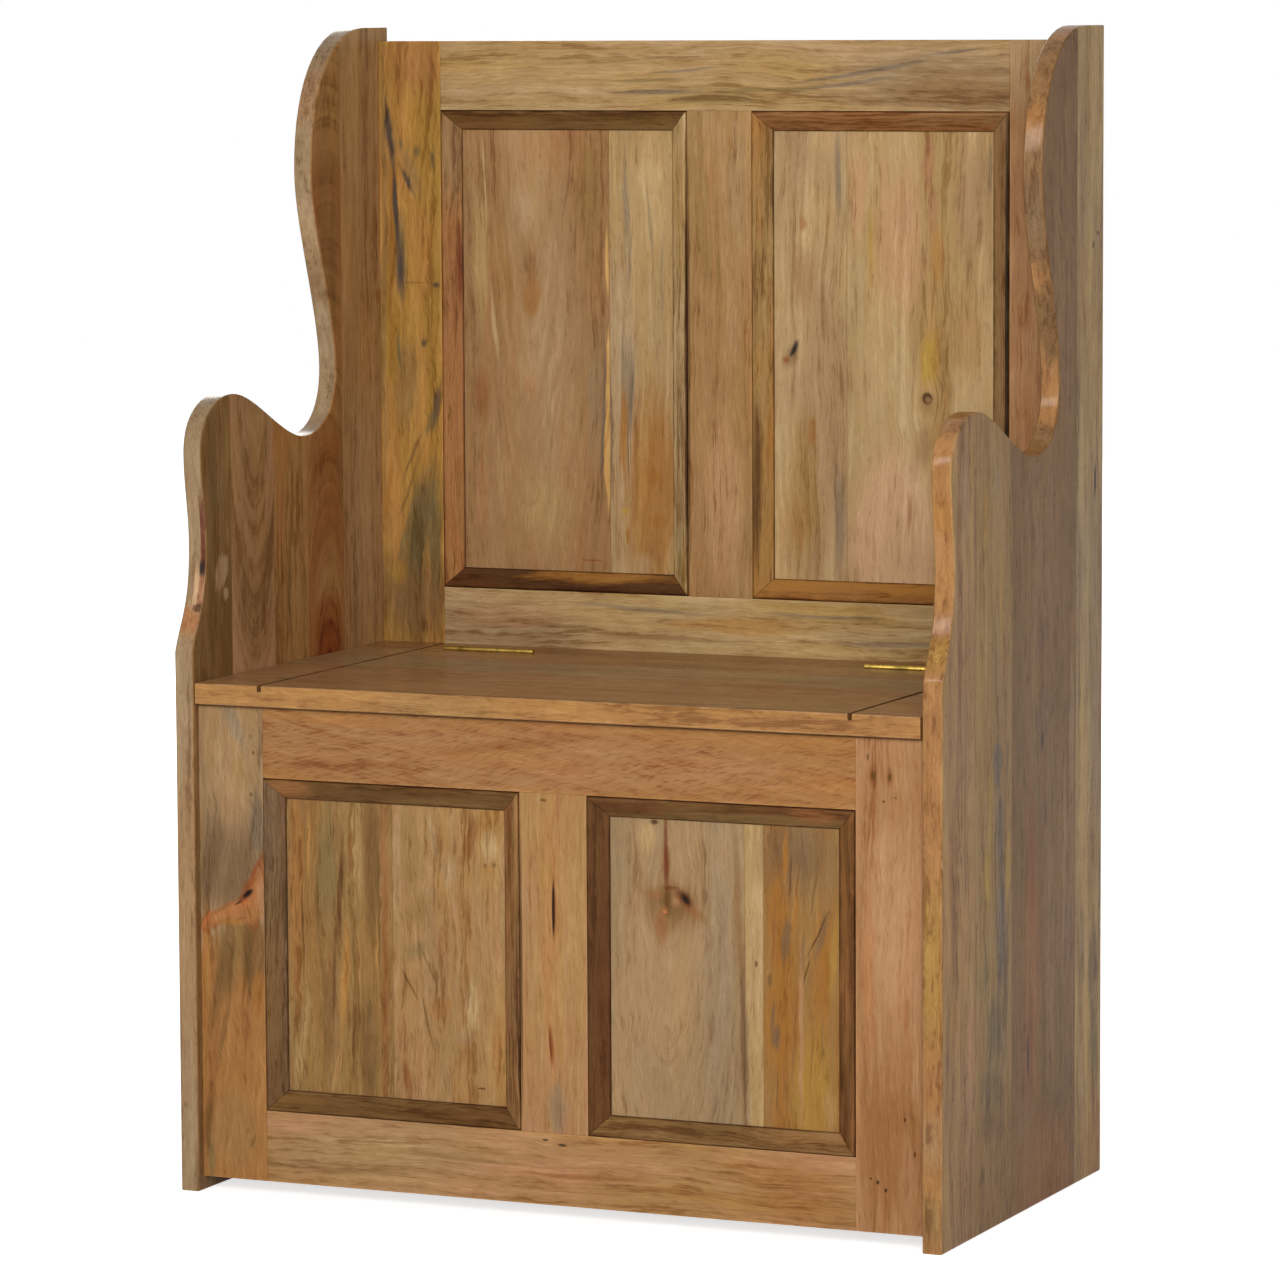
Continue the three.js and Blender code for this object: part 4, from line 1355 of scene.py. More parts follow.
    def left_panel(self) -> Wood:
        """Gives the finish of the left panel: a streaky stave and a swirled one."""
        stains = (
            Stain((-0.28, 0.3), (0.012, 0.16), Hue.SIENNA),
            Stain((-0.266, 0.35), (0.003, 0.05), Hue.HONEY),
            Stain((-0.276, 0.15), (0.007, 0.06), Hue.WHEAT, 0.9, lean=0.15),
            Stain((-0.262, 0.13), (0.007, 0.06), Hue.BRONZE, 0.9),
            Stain((-0.273, 0.26), (0.002, 0.07), Hue.WALNUT, 0.7),
            Stain((-0.246, 0.33), (0.016, 0.08), Hue.OLIVE),
            Stain((-0.25, 0.18), (0.01, 0.08), Hue.NUT, 0.6),
            Stain((-0.256, 0.29), (0.0025, 0.06), Hue.NUT, 0.7),
            Stain((-0.231, 0.3), (0.0035, 0.06), Hue.WALNUT, lean=0.04),
            Stain((-0.241, 0.21), (0.003, 0.06), Hue.UMBER, 0.6, lean=0.04),
            Stain((-0.213, 0.335), (0.008, 0.065), Hue.WHEAT, 1.0),
            Stain((-0.219, 0.345), (0.003, 0.03), Hue.CHESTNUT, 0.6),
            Stain((-0.229, 0.21), (0.006, 0.075), Hue.HONEY, 0.9, lean=0.08),
            Stain((-0.238, 0.125), (0.005, 0.035), Hue.GOLD_TAN, 0.9, lean=0.2),
            Stain((-0.213, 0.21), (0.0035, 0.07), Hue.GOLD_TAN, 0.9),
            Stain((-0.22, 0.15), (0.0025, 0.05), Hue.WALNUT, 0.7),
            Stain((-0.196, 0.33), (0.014, 0.12), Hue.NUT, 0.9, rag=0.4),
            Stain((-0.201, 0.15), (0.015, 0.1), Hue.NUT, 0.9, rag=0.4),
            Stain((-0.183, 0.25), (0.006, 0.3), Hue.CHESTNUT),
            Stain((-0.189, 0.28), (0.0016, 0.09), Hue.WALNUT, 0.7),
            Stain((-0.192, 0.24), (0.0016, 0.05), Hue.HONEY, 0.6),
            Stain((-0.155, 0.345), (0.018, 0.06), Hue.KHAKI),
            Stain((-0.15, 0.29), (0.02, 0.022), Hue.BRONZE, 0.7, lean=0.5),
            Stain((-0.15, 0.25), (0.018, 0.014), Hue.OLIVE, 0.6, lean=0.5),
            Stain((-0.132, 0.365), (0.004, 0.035), Hue.OAT, 0.9, lean=-0.15),
            Stain((-0.116, 0.33), (0.01, 0.025), Hue.OAT, 0.7),
            Stain((-0.091, 0.362), (0.009, 0.03), Hue.CHESTNUT, lean=0.35),
            Stain((-0.072, 0.355), (0.012, 0.02), Hue.STRAW),
            Stain((-0.067, 0.338), (0.004, 0.003), Hue.NUT, 0.7, rag=0.2),
            Stain((-0.077, 0.337), (0.003, 0.003), Hue.NUT, 0.6, rag=0.2),
            Stain((-0.11, 0.292), (0.004, 0.018), Hue.BLUSH),
            Stain((-0.122, 0.255), (0.012, 0.02), Hue.ROSE, 0.7),
            Stain((-0.157, 0.215), (0.0022, 0.02), Hue.NUT, lean=-0.6, rag=0.8),
            Stain((-0.143, 0.175), (0.0022, 0.03), Hue.NUT, lean=-0.25, rag=0.8),
            Stain((-0.14, 0.23), (0.0022, 0.026), Hue.NUT, 0.6, lean=-0.4, rag=0.8),
            Stain((-0.091, 0.205), (0.009, 0.03), Hue.STRAW, 0.9),
            Stain((-0.1, 0.17), (0.01, 0.012), Hue.OAT, 0.7),
            Stain((-0.125, 0.195), (0.016, 0.014), Hue.SIENNA, 0.7, lean=0.5),
            Stain((-0.165, 0.165), (0.01, 0.02), Hue.ROSE),
            Stain((-0.16, 0.122), (0.006, 0.022), Hue.CHESTNUT, lean=-0.2),
            Stain((-0.082, 0.12), (0.006, 0.0014), Hue.UMBER, rag=0.2),
            Stain((-0.066, 0.165), (0.006, 0.05), Hue.SIENNA),
            Stain((-0.063, 0.27), (0.005, 0.06), Hue.ROSE, 0.6),
        )
        return Wood(
            Axis.Z,
            Axis.X,
            (
                Stave(-0.176, Hue.KHAKI, Hue.COCOA, 0.4, 0.05, 0.03),
                Stave(PAST_EDGE, Hue.GOLD_TAN, Hue.TAN, 0.3, 0.05, 0.05),
            ),
            stains=stains,
            seed=13.0,
            contrast=0.95,
            tints=(0.4, 0.6, 0.4),
            wander=0.014,
            ripple=0.012,
            rings=0.3,
        )

    def right_panel(self) -> Wood:
        """Gives the finish of the right panel: a star knot, a pale strip, a golden stave."""
        stains = (
            Stain((0.168, 0.25), (0.024, 0.3), Hue.ASH, 0.5),
            Stain((0.095, 0.375), (0.012, 0.022), Hue.CREAM, 0.5),
            Stain((0.172, 0.36), (0.01, 0.04), Hue.OAT, 0.6),
            Stain((0.1885, 0.2), (0.0095, 0.3), Hue.FAWN, 1.0, lean=-0.032, rag=0.3, soft=0.3),
            Stain((0.1905, 0.22), (0.006, 0.26), Hue.DRAB, lean=-0.032, rag=0.4),
            Stain((0.192, 0.18), (0.004, 0.1), Hue.STONE, lean=-0.032, rag=0.4),
            Stain((0.245, 0.365), (0.06, 0.06), Hue.STONE, 0.7, soft=0.8, rag=0.3),
            Stain((0.255, 0.37), (0.008, 0.04), Hue.STONE, 0.5, lean=0.1),
            Stain((0.278, 0.35), (0.012, 0.06), Hue.DRAB, lean=0.15),
            Stain((0.262, 0.14), (0.03, 0.09), Hue.GOLD, 0.9, rag=0.3),
            Stain((0.226, 0.2), (0.014, 0.07), Hue.AMBER, rag=0.4),
            Stain((0.224, 0.31), (0.008, 0.055), Hue.AMBER, 1.0, lean=0.1),
            Stain((0.236, 0.365), (0.0035, 0.04), Hue.AMBER, 1.0, lean=0.05),
            Stain((0.222, 0.29), (0.003, 0.04), Hue.CHESTNUT, lean=0.05),
            Stain((0.245, 0.32), (0.004, 0.055), Hue.AMBER, 0.9, lean=0.12),
            Stain((0.236, 0.29), (0.007, 0.03), Hue.STONE, lean=0.12),
            Stain((0.252, 0.275), (0.005, 0.03), Hue.STONE, 0.6, lean=0.15),
            Stain((0.27, 0.29), (0.007, 0.035), Hue.STONE, 0.7, lean=0.3),
            Stain((0.262, 0.33), (0.0018, 0.04), Hue.NUT, 0.9, lean=0.15),
            Stain((0.249, 0.35), (0.0016, 0.04), Hue.NUT, 0.9, lean=0.15),
            Stain((0.24, 0.345), (0.0014, 0.04), Hue.WALNUT, 0.7, lean=0.1),
            Stain((0.283, 0.27), (0.005, 0.06), Hue.GOLD, 0.9, lean=0.06),
            Stain((0.266, 0.29), (0.0016, 0.03), Hue.UMBER, 0.9, lean=0.55, rag=0.4),
            Stain((0.256, 0.255), (0.0014, 0.024), Hue.UMBER, lean=0.3, rag=0.4),
            Stain((0.218, 0.245), (0.004, 0.01), Hue.NUT, 0.9, rag=0.6),
            Stain((0.2245, 0.19), (0.006, 0.018), Hue.STONE, 0.9, rag=0.6),
            Stain((0.222, 0.21), (0.003, 0.02), Hue.STONE, lean=0.1),
            Stain((0.205, 0.259), (0.0022, 0.004), Hue.NUT, 0.9, rag=0.3),
            Stain((0.25, 0.2), (0.0035, 0.13), Hue.BLUSH),
            Stain((0.226, 0.14), (0.0014, 0.03), Hue.NUT),
            Stain((0.233, 0.15), (0.0014, 0.03), Hue.CHESTNUT),
            Stain((0.243, 0.19), (0.0016, 0.06), Hue.CHESTNUT, lean=0.03),
            Stain((0.261, 0.17), (0.0014, 0.045), Hue.CHESTNUT, lean=0.03),
            Stain((0.272, 0.19), (0.0016, 0.045), Hue.BRONZE),
            Stain((0.28, 0.125), (0.01, 0.03), Hue.GOLD_TAN, 0.7, rag=0.3),
            Stain((0.101, 0.3885), (0.0075, 0.004), Hue.UMBER, 0.9, rag=0.4),
            Stain((0.118, 0.311), (0.044, 0.038), Hue.COCOA, 0.9, rag=0.25, soft=0.8),
            Stain((0.119, 0.313), (0.027, 0.022), Hue.NUT, 0.9, rag=0.25),
            Stain((0.108, 0.288), (0.011, 0.03), Hue.CHESTNUT, rag=0.2, soft=0.8),
            Stain((0.142, 0.304), (0.013, 0.013), Hue.CHESTNUT, 0.7, lean=-1.0, rag=0.2, soft=0.9),
            Stain((0.102, 0.319), (0.012, 0.01), Hue.CHESTNUT, rag=0.3, soft=1.0),
            Stain((0.124, 0.314), (0.01, 0.01), Hue.ROSE, rag=0.3, soft=1.0),
            Stain((0.1135, 0.345), (0.01, 0.04), Hue.DRAB, rag=0.2, soft=1.0),
            Stain((0.1125, 0.365), (0.0034, 0.062), Hue.BRICK, rag=0.2, soft=0.8),
            Stain((0.1135, 0.345), (0.0044, 0.034), Hue.BRICK, 0.7, rag=0.2, soft=0.8),
            Stain((0.119, 0.3265), (0.014, 0.003), Hue.BRICK, rag=0.3, soft=1.0),
            Stain((0.1143, 0.313), (0.0056, 0.019), Hue.WALNUT, 1.0, rag=0.2, soft=0.8),
            Stain((0.111, 0.305), (0.006, 0.005), Hue.CHESTNUT, 1.0, rag=0.3),
            Stain((0.1115, 0.303), (0.0034, 0.0022), Hue.EMBER, 1.0, rag=0.2),
            Stain((0.131, 0.317), (0.011, 0.013), Hue.BRICK, lean=-0.5, rag=0.2, soft=0.8),
            Stain((0.1315, 0.3175), (0.0072, 0.0095), Hue.UMBER, 1.0, lean=-0.5, rag=0.3, sunk=0.5),
            Stain((0.1325, 0.3165), (0.0044, 0.007), Hue.TAR, 0.9, lean=-0.5, rag=0.2),
        )
        return Wood(
            Axis.Z,
            Axis.X,
            (
                Stave(0.193, Hue.OAT, Hue.FAWN, 0.113, 0.004, -0.18, 0.33),
                Stave(0.2125, Hue.STRAW, Hue.WHEAT, 0.5),
                Stave(PAST_EDGE, Hue.AMBER, Hue.BRONZE, 0.5, 0.05, 0.04),
            ),
            stains=stains,
            knots=(Knot((0.118, 0.308), (0.04, 0.075), 0.7),),
            seed=17.0,
            contrast=0.65,
            tints=(0.5, 0.2, 0.1),
            ripple=0.01,
        )

    def moulding_finishes(self) -> dict[str, Wood]:
        """Gives the finish of the eight mouldings.

        Returns:
            The finishes by the mouldings' names.
        """
        # Painted shade with dirt: a dark line where the lip's side face meets the muntin.
        gap_shade_and_dirt = Stain((-0.0362, 0.22), (0.0022, 0.19), Hue.UMBER, 0.9, soft=0.6)
        shade = Stain((-0.3, 0.2), (0.012, 0.12), Hue.NUT, 0.6)
        flame = Stain((0.402, -0.285), (0.012, 0.04), Hue.CHESTNUT, 0.9)
        ember = Stain((0.402, 0.27), (0.012, 0.03), Hue.CHESTNUT)
        return self.mouldings(
            "front",
            20.0,
            (Hue.STONE, Hue.WALNUT, shade),
            (Hue.CHESTNUT, Hue.DRAB, gap_shade_and_dirt),
            (Hue.WALNUT, Hue.NUT, flame),
            (Hue.WALNUT, Hue.NUT),
            (Hue.WALNUT, Hue.BARK),
            (Hue.WALNUT, Hue.CHESTNUT),
            (Hue.BARK, Hue.NUT, ember),
            (Hue.NUT, Hue.COCOA),
        )


@dataclass
class Back(Panelled):
    """The panelled back, with the plain panel that closes the chest behind."""

    def finishes(self) -> dict[str, Wood]:
        """Gives the finish of each piece of the back."""
        return {
            "back_left_stile": self.left_stile(),
            "back_right_stile": self.right_stile(),
            "back_muntin": self.muntin(),
            "back_top_rail": self.top_rail(),
            "back_seat_rail": self.seat_rail(),
            "back_bottom_rail": lying(Hue.TAN, Hue.FAWN, seed=41.0),
            "back_left_panel": self.left_panel(),
            "back_right_panel": self.right_panel(),
            "back_lower_panel": self.lower_panel(),
            **self.moulding_finishes(),
        }

    def left_stile(self) -> Wood:
        """Gives the finish of the left stile: golden, with dark branching lines."""
        stains = (
            Stain((-0.34, 1.1), (0.05, 0.055), Hue.SIENNA),
            # Painted shade with dirt: a darker strip along the left edge, in the corner by the end
            # board.
            Stain((-0.376, 0.85), (0.006, 0.38), Hue.BRONZE, rag=0.6),
            Stain((-0.33, 0.91), (0.012, 0.06), Hue.HONEY),
            Stain((-0.366, 0.93), (0.008, 0.16), Hue.AMBER, 0.6),
            Stain((-0.35, 0.76), (0.02, 0.07), Hue.BRONZE),
            Stain((-0.345, 0.55), (0.06, 0.07), Hue.STONE, 0.7, rag=0.4),
            Stain((-0.334, 0.63), (0.026, 0.075), Hue.MOSS, 0.9, lean=0.25),
            Stain((-0.322, 0.61), (0.014, 0.07), Hue.MOSS, rag=0.6),
            Stain((-0.355, 0.61), (0.006, 0.07), Hue.OLIVE, lean=0.25),
            Stain((-0.372, 0.66), (0.005, 0.06), Hue.AMBER, lean=0.15),
            Stain((-0.362, 0.575), (0.014, 0.02), Hue.GOLD),
            Stain((-0.345, 0.69), (0.003, 0.04), Hue.NUT, 0.7, lean=0.5),
            Stain((-0.352, 0.655), (0.003, 0.05), Hue.NUT, 0.6, lean=0.4),
            Stain((-0.318, 0.745), (0.006, 0.036), Hue.SLATE, lean=0.15, rag=0.7),
            Stain((-0.325, 0.73), (0.005, 0.02), Hue.OLIVE, lean=0.3),
            Stain((-0.368, 1.02), (0.008, 0.05), Hue.BRONZE, 0.9, lean=-0.1),
            Stain((-0.356, 0.9), (0.009, 0.06), Hue.OLIVE, 0.9),
            Stain((-0.345, 0.985), (0.012, 0.035), Hue.BRONZE, lean=-0.4),
            Stain((-0.369, 1.02), (0.0055, 0.05), Hue.SLATE, 1.0, lean=-0.1, soft=0.8),
            Stain((-0.362, 0.945), (0.005, 0.06), Hue.SLATE, 1.0, lean=-0.08, rag=0.4),
            Stain((-0.357, 0.885), (0.007, 0.05), Hue.SLATE, 1.0, soft=0.8, rag=0.4),
            Stain((-0.359, 0.8), (0.003, 0.03), Hue.MOSS, 0.9, lean=-0.05),
            Stain((-0.349, 0.98), (0.005, 0.024), Hue.SLATE, 0.9, lean=-0.5, soft=0.8),
            Stain((-0.355, 1.015), (0.0045, 0.014), Hue.MOSS, 0.9, soft=1.0),
            Stain((-0.337, 1.008), (0.006, 0.01), Hue.MOSS, 0.9, soft=1.0),
            Stain((-0.319, 1.0), (0.004, 0.016), Hue.MOSS, 0.9, soft=1.0),
            Stain((-0.331, 0.812), (0.0045, 0.006), Hue.SLATE, rag=0.3),
            Stain((-0.316, 0.872), (0.005, 0.004), Hue.SLATE, rag=0.3),
            Stain((-0.345, 0.874), (0.03, 0.0012), Hue.NUT, 0.6, rag=0.2),
        )
        return upright(
            Hue.GOLD,
            Hue.HONEY,
            stains=stains,
            lean=0.1,
            seed=31.0,
            tints=(0.4, 0.7, 0.4),
            ripple=0.012,
        )

    def right_stile(self) -> Wood:
        """Gives the finish of the right stile."""
        stains = (
            Stain((0.34, 1.1), (0.06, 0.08), Hue.OAT, 1.0),
            Stain((0.33, 0.95), (0.012, 0.15), Hue.ROSE, 0.5),
        )
        return upright(
            Hue.BLUSH,
            Hue.ROSE,
            stains=stains,
            lines=Grain.RED,
            seed=33.0,
            tints=(0.4, 0.2, 0.5),
        )

    def muntin(self) -> Wood:
        """Gives the finish of the muntin, striped above and rosy below."""
        stains = (
            Stain((-0.018, 0.95), (0.01, 0.14), Hue.BRONZE, 0.7),
            Stain((-0.004, 0.9), (0.004, 0.12), Hue.BRONZE, 0.6),
            Stain((0.02, 0.98), (0.012, 0.1), Hue.OAT, 0.6),
            Stain((0.004, 0.66), (0.034, 0.12), Hue.PINK, 0.6),
            # Painted shade: a dark line along the muntin's left edge, beside the moulding's lip.
            Stain((-0.034, 0.8), (0.0018, 0.27), Hue.UMBER, 0.7, rag=0.1, soft=0.6),
        )
        return upright(
            Hue.GOLD_TAN,
            Hue.TAN,
            stains=stains,
            seed=35.0,
            contrast=0.9,
        )

    def top_rail(self) -> Wood:
        """Gives the finish of the top rail, with long grey streaks."""
        stains = (
            Stain((1.085, 0.24), (0.05, 0.16), Hue.FAWN, 1.0),
            Stain((1.075, 0.26), (0.03, 0.12), Hue.DRAB, 0.7),
            Stain((1.105, -0.1), (0.005, 0.12), Hue.STRAW, 0.7),
            Stain((1.07, -0.19), (0.008, 0.09), Hue.STRAW, 0.6),
            Stain((1.06, -0.01), (0.006, 0.06), Hue.OLIVE, 0.6),
            Stain((1.068, -0.07), (0.003, 0.06), Hue.SMOKE),
            Stain((1.08, -0.08), (0.0035, 0.07), Hue.OLIVE, 0.7),
            Stain((1.09, -0.04), (0.0025, 0.05), Hue.SMOKE, 0.7, lean=0.08),
            Stain((1.09, 0.15), (0.0035, 0.1), Hue.SMOKE, lean=0.16),
            Stain((1.079, 0.14), (0.003, 0.08), Hue.SMOKE, 0.7, lean=0.14),
            Stain((1.072, 0.06), (0.003, 0.09), Hue.OLIVE, 0.6, lean=0.08),
            Stain((1.11, 0.25), (0.0025, 0.05), Hue.SMOKE, 0.7, lean=0.1),
        )
        return lying(
            Hue.WHEAT,
            Hue.OAT,
            stains=stains,
            seed=37.0,
            tints=(0.7, 0.5, 0.2),
        )

    def seat_rail(self) -> Wood:
        """Gives the finish of the rail above the seat."""
        stains = (
            Stain((0.51, -0.24), (0.06, 0.12), Hue.FAWN, 0.9),
            Stain((0.535, -0.23), (0.016, 0.08), Hue.BLUSH, 0.6),
            Stain((0.545, -0.1), (0.004, 0.12), Hue.SMOKE, 0.6, lean=-0.06),
            Stain((0.525, -0.18), (0.003, 0.09), Hue.DRAB, 0.7, lean=-0.08),
            Stain((0.515, -0.06), (0.004, 0.1), Hue.DRAB, 0.6),
            Stain((0.53, 0.02), (0.014, 0.11), Hue.HONEY, 0.6),
            Stain((0.545, 0.12), (0.0035, 0.09), Hue.SMOKE, 0.6),
            Stain((0.52, 0.2), (0.004, 0.09), Hue.SMOKE, 0.5),
        )
        return lying(
            Hue.STRAW,
            Hue.WHEAT,
            stains=stains,
            seed=39.0,
            contrast=1.1,
            tints=(0.7, 0.6, 0.3),
        )

    def left_panel(self) -> Wood:
        """Gives the finish of the left panel: a rosy plank and a streaked pale one."""
        stains = (
            Stain((-0.19, 1.01), (0.08, 0.04), Hue.ROSE),
            Stain((-0.22, 0.955), (0.024, 0.04), Hue.OAT),
            Stain((-0.271, 0.9), (0.012, 0.09), Hue.WHEAT, 0.9),
            Stain((-0.195, 0.8), (0.045, 0.24), Hue.OAT, 0.6),
            Stain((-0.213, 0.87), (0.018, 0.034), Hue.SIENNA),
            Stain((-0.213, 0.895), (0.008, 0.02), Hue.CHESTNUT, 0.5),
            Stain((-0.215, 0.775), (0.014, 0.026), Hue.ROSE, 0.9),
            Stain((-0.235, 0.8), (0.007, 0.03), Hue.BLUSH, 0.7, lean=-0.15),
            Stain((-0.2, 0.645), (0.05, 0.065), Hue.WHEAT, 0.6),
            Stain((-0.148, 0.96), (0.014, 0.09), Hue.BRONZE, 0.9),
            Stain((-0.145, 0.76), (0.012, 0.08), Hue.FAWN, 0.7),
            Stain((-0.266, 0.975), (0.002, 0.055), Hue.STRAW, 0.9, lean=-0.06),
            Stain((-0.257, 0.835), (0.003, 0.055), Hue.STRAW, 0.9, lean=-0.1),
            Stain((-0.272, 0.762), (0.013, 0.04), Hue.CHESTNUT, 0.75),
            Stain((-0.27, 0.65), (0.011, 0.055), Hue.ROSE),
            Stain((-0.27, 0.7), (0.003, 0.06), Hue.CHESTNUT, 0.6),
            Stain((-0.085, 0.96), (0.04, 0.09), Hue.STRAW, 0.6),
            Stain((-0.107, 0.96), (0.005, 0.07), Hue.ASH),
            Stain((-0.104, 0.9), (0.0025, 0.05), Hue.SMOKE, 0.6, lean=0.05),
            Stain((-0.082, 0.93), (0.0025, 0.08), Hue.ASH, 0.7, lean=-0.05),
            Stain((-0.068, 0.88), (0.002, 0.06), Hue.ASH, 0.6),
            Stain((-0.107, 0.775), (0.009, 0.07), Hue.ASH, 0.85),
            Stain((-0.078, 0.66), (0.044, 0.15), Hue.AMBER, rag=0.35, soft=0.6),
            Stain((-0.11, 0.72), (0.006, 0.07), Hue.AMBER, 0.9),
            Stain((-0.08, 0.68), (0.014, 0.014), Hue.AMBER),
            Stain((-0.072, 0.635), (0.015, 0.01), Hue.AMBER),
            Stain((-0.092, 0.59), (0.02, 0.02), Hue.OAT, 0.6),
            Stain((-0.11, 0.645), (0.006, 0.004), Hue.YELLOW, 1.0, rag=0.4),
            Stain((-0.107, 0.62), (0.003, 0.014), Hue.AMBER, 1.0, rag=0.4),
            Stain((-0.101, 0.745), (0.003, 0.08), Hue.SMOKE, 0.9, rag=0.8),
            Stain((-0.104, 0.7), (0.0014, 0.05), Hue.SLATE, 0.7, rag=0.7),
            Stain((-0.1285, 0.895), (0.003, 0.04), Hue.BUTTER, 1.0),
            Stain((-0.1295, 0.745), (0.0044, 0.105), Hue.BUTTER, 1.0, rag=0.6, soft=0.3),
            Stain((-0.1355, 0.75), (0.0022, 0.11), Hue.SMOKE, rag=0.6),
            Stain((-0.1245, 0.73), (0.0012, 0.09), Hue.SMOKE, 0.7),
            Stain((-0.147, 0.593), (0.018, 0.0012), Hue.RUST, rag=0.1),
        )
        return Wood(
            Axis.Z,
            Axis.X,
            (
                Stave(-0.126, Hue.CLAY, Hue.TAN, -0.215, 0.004, -0.13, 0.98),
                Stave(PAST_EDGE, Hue.FLAX, Hue.WHEAT, 0.4, 0.05, 0.02),
            ),
            stains=stains,
            seed=43.0,
            contrast=0.8,
            tints=(0.5, 0.4, 0.5),
            wander=0.016,
        )

    def right_panel(self) -> Wood:
        """Gives the finish of the right panel, with two small knots."""
        stains = (
            Stain((0.085, 0.66), (0.026, 0.1), Hue.GOLD, 0.5),
            Stain((0.082, 0.635), (0.012, 0.04), Hue.AMBER, 0.4),
            Stain((0.096, 0.73), (0.006, 0.02), Hue.AMBER, 0.7),
            Stain((0.085, 0.88), (0.02, 0.06), Hue.TAN),
            Stain((0.087, 0.938), (0.006, 0.012), Hue.ROSE, 0.9),
            Stain((0.1, 0.99), (0.03, 0.04), Hue.OAT, 0.6),
            Stain((0.124, 0.99), (0.005, 0.045), Hue.ASH, 0.9),
            Stain((0.125, 0.64), (0.0085, 0.075), Hue.ASH),
            Stain((0.127, 0.79), (0.006, 0.08), Hue.OAT),
            Stain((0.163, 0.77), (0.026, 0.11), Hue.STRAW, 0.95),
            Stain((0.156, 0.935), (0.014, 0.06), Hue.WHEAT, 0.9),
            Stain((0.158, 0.915), (0.004, 0.05), Hue.YELLOW, 0.6),
            Stain((0.19, 0.92), (0.034, 0.11), Hue.PINK, 0.95, rag=0.4),
            Stain((0.192, 0.95), (0.012, 0.05), Hue.BLUSH, 0.5, rag=0.6),
            Stain((0.145, 0.965), (0.012, 0.07), Hue.PINK),
            Stain((0.22, 0.99), (0.009, 0.032), Hue.BLUSH, 1.0),
            Stain((0.226, 0.945), (0.007, 0.026), Hue.BLUSH, 0.9),
            Stain((0.23, 0.905), (0.01, 0.04), Hue.HONEY, 0.7),
            Stain((0.186, 0.62), (0.062, 0.125), Hue.PEACH, 1.0, soft=0.5, rag=0.35),
            Stain((0.199, 0.66), (0.004, 0.035), Hue.BLUSH, rag=0.8),
            Stain((0.215, 0.72), (0.014, 0.03), Hue.TAN),
            Stain((0.222, 0.8), (0.012, 0.04), Hue.YELLOW, 0.9),
            Stain((0.226, 0.865), (0.002, 0.035), Hue.BRONZE, 0.7, lean=0.1),
            Stain((0.217, 0.86), (0.002, 0.035), Hue.BRONZE, 0.7, lean=-0.1),
            Stain((0.239, 0.79), (0.0025, 0.035), Hue.BRONZE, 0.6, lean=0.1),
            Stain((0.264, 0.82), (0.022, 0.07), Hue.GOLD_TAN, 0.6),
            Stain((0.265, 0.96), (0.022, 0.09), Hue.OAT),
            Stain((0.284, 0.99), (0.003, 0.03), Hue.ASH, 0.7),
            Stain((0.219, 0.762), (0.014, 0.02), Hue.BRONZE, soft=1.0),
            Stain((0.2195, 0.7665), (0.007, 0.007), Hue.UMBER, 0.9, soft=0.4),
            Stain((0.2205, 0.765), (0.0048, 0.0045), Hue.DRAB, 1.0, rag=0.3),
            Stain((0.073, 0.806), (0.012, 0.018), Hue.DRAB, 0.7, lean=0.4),
            Stain((0.0765, 0.813), (0.0046, 0.012), Hue.SLATE, 1.0, lean=0.5),
            Stain((0.0755, 0.811), (0.0022, 0.007), Hue.TAR, 0.7, lean=0.5, rag=0.4),
            Stain((0.068, 0.802), (0.005, 0.0045), Hue.RUST, 0.7, rag=0.6),
        )
        return Wood(
            Axis.Z,
            Axis.X,
            (
                Stave(0.1335, Hue.OAT, Hue.STRAW, 0.5, 0.05, 0.03),
                Stave(PAST_EDGE, Hue.WHEAT, Hue.STRAW, 0.6, 0.05, 0.04, 0.7),
            ),
            stains=stains,
            knots=(Knot((0.072, 0.812), (0.022, 0.055)), Knot((0.2195, 0.765), (0.022, 0.05))),
            seed=47.0,
            contrast=0.7,
            tints=(0.5, 0.4, 0.5),
            wander=0.016,
        )

    def lower_panel(self) -> Wood:
        """Gives the finish of the panel that closes the chest behind."""
        return Wood(
            Axis.X,
            Axis.Z,
            (
                Stave(0.19, Hue.TAN, Hue.OAT, 0.1, 0.04, 0.05),
                Stave(0.31, Hue.FAWN, Hue.TAN, 0.3, 0.04, 0.04),
                Stave(PAST_EDGE, Hue.OAT, Hue.ROSE, 0.5, 0.04, 0.05),
            ),
            seed=49.0,
        )

    def moulding_finishes(self) -> dict[str, Wood]:
        """Gives the finish of the eight mouldings.

        Returns:
            The finishes by the mouldings' names.
        """
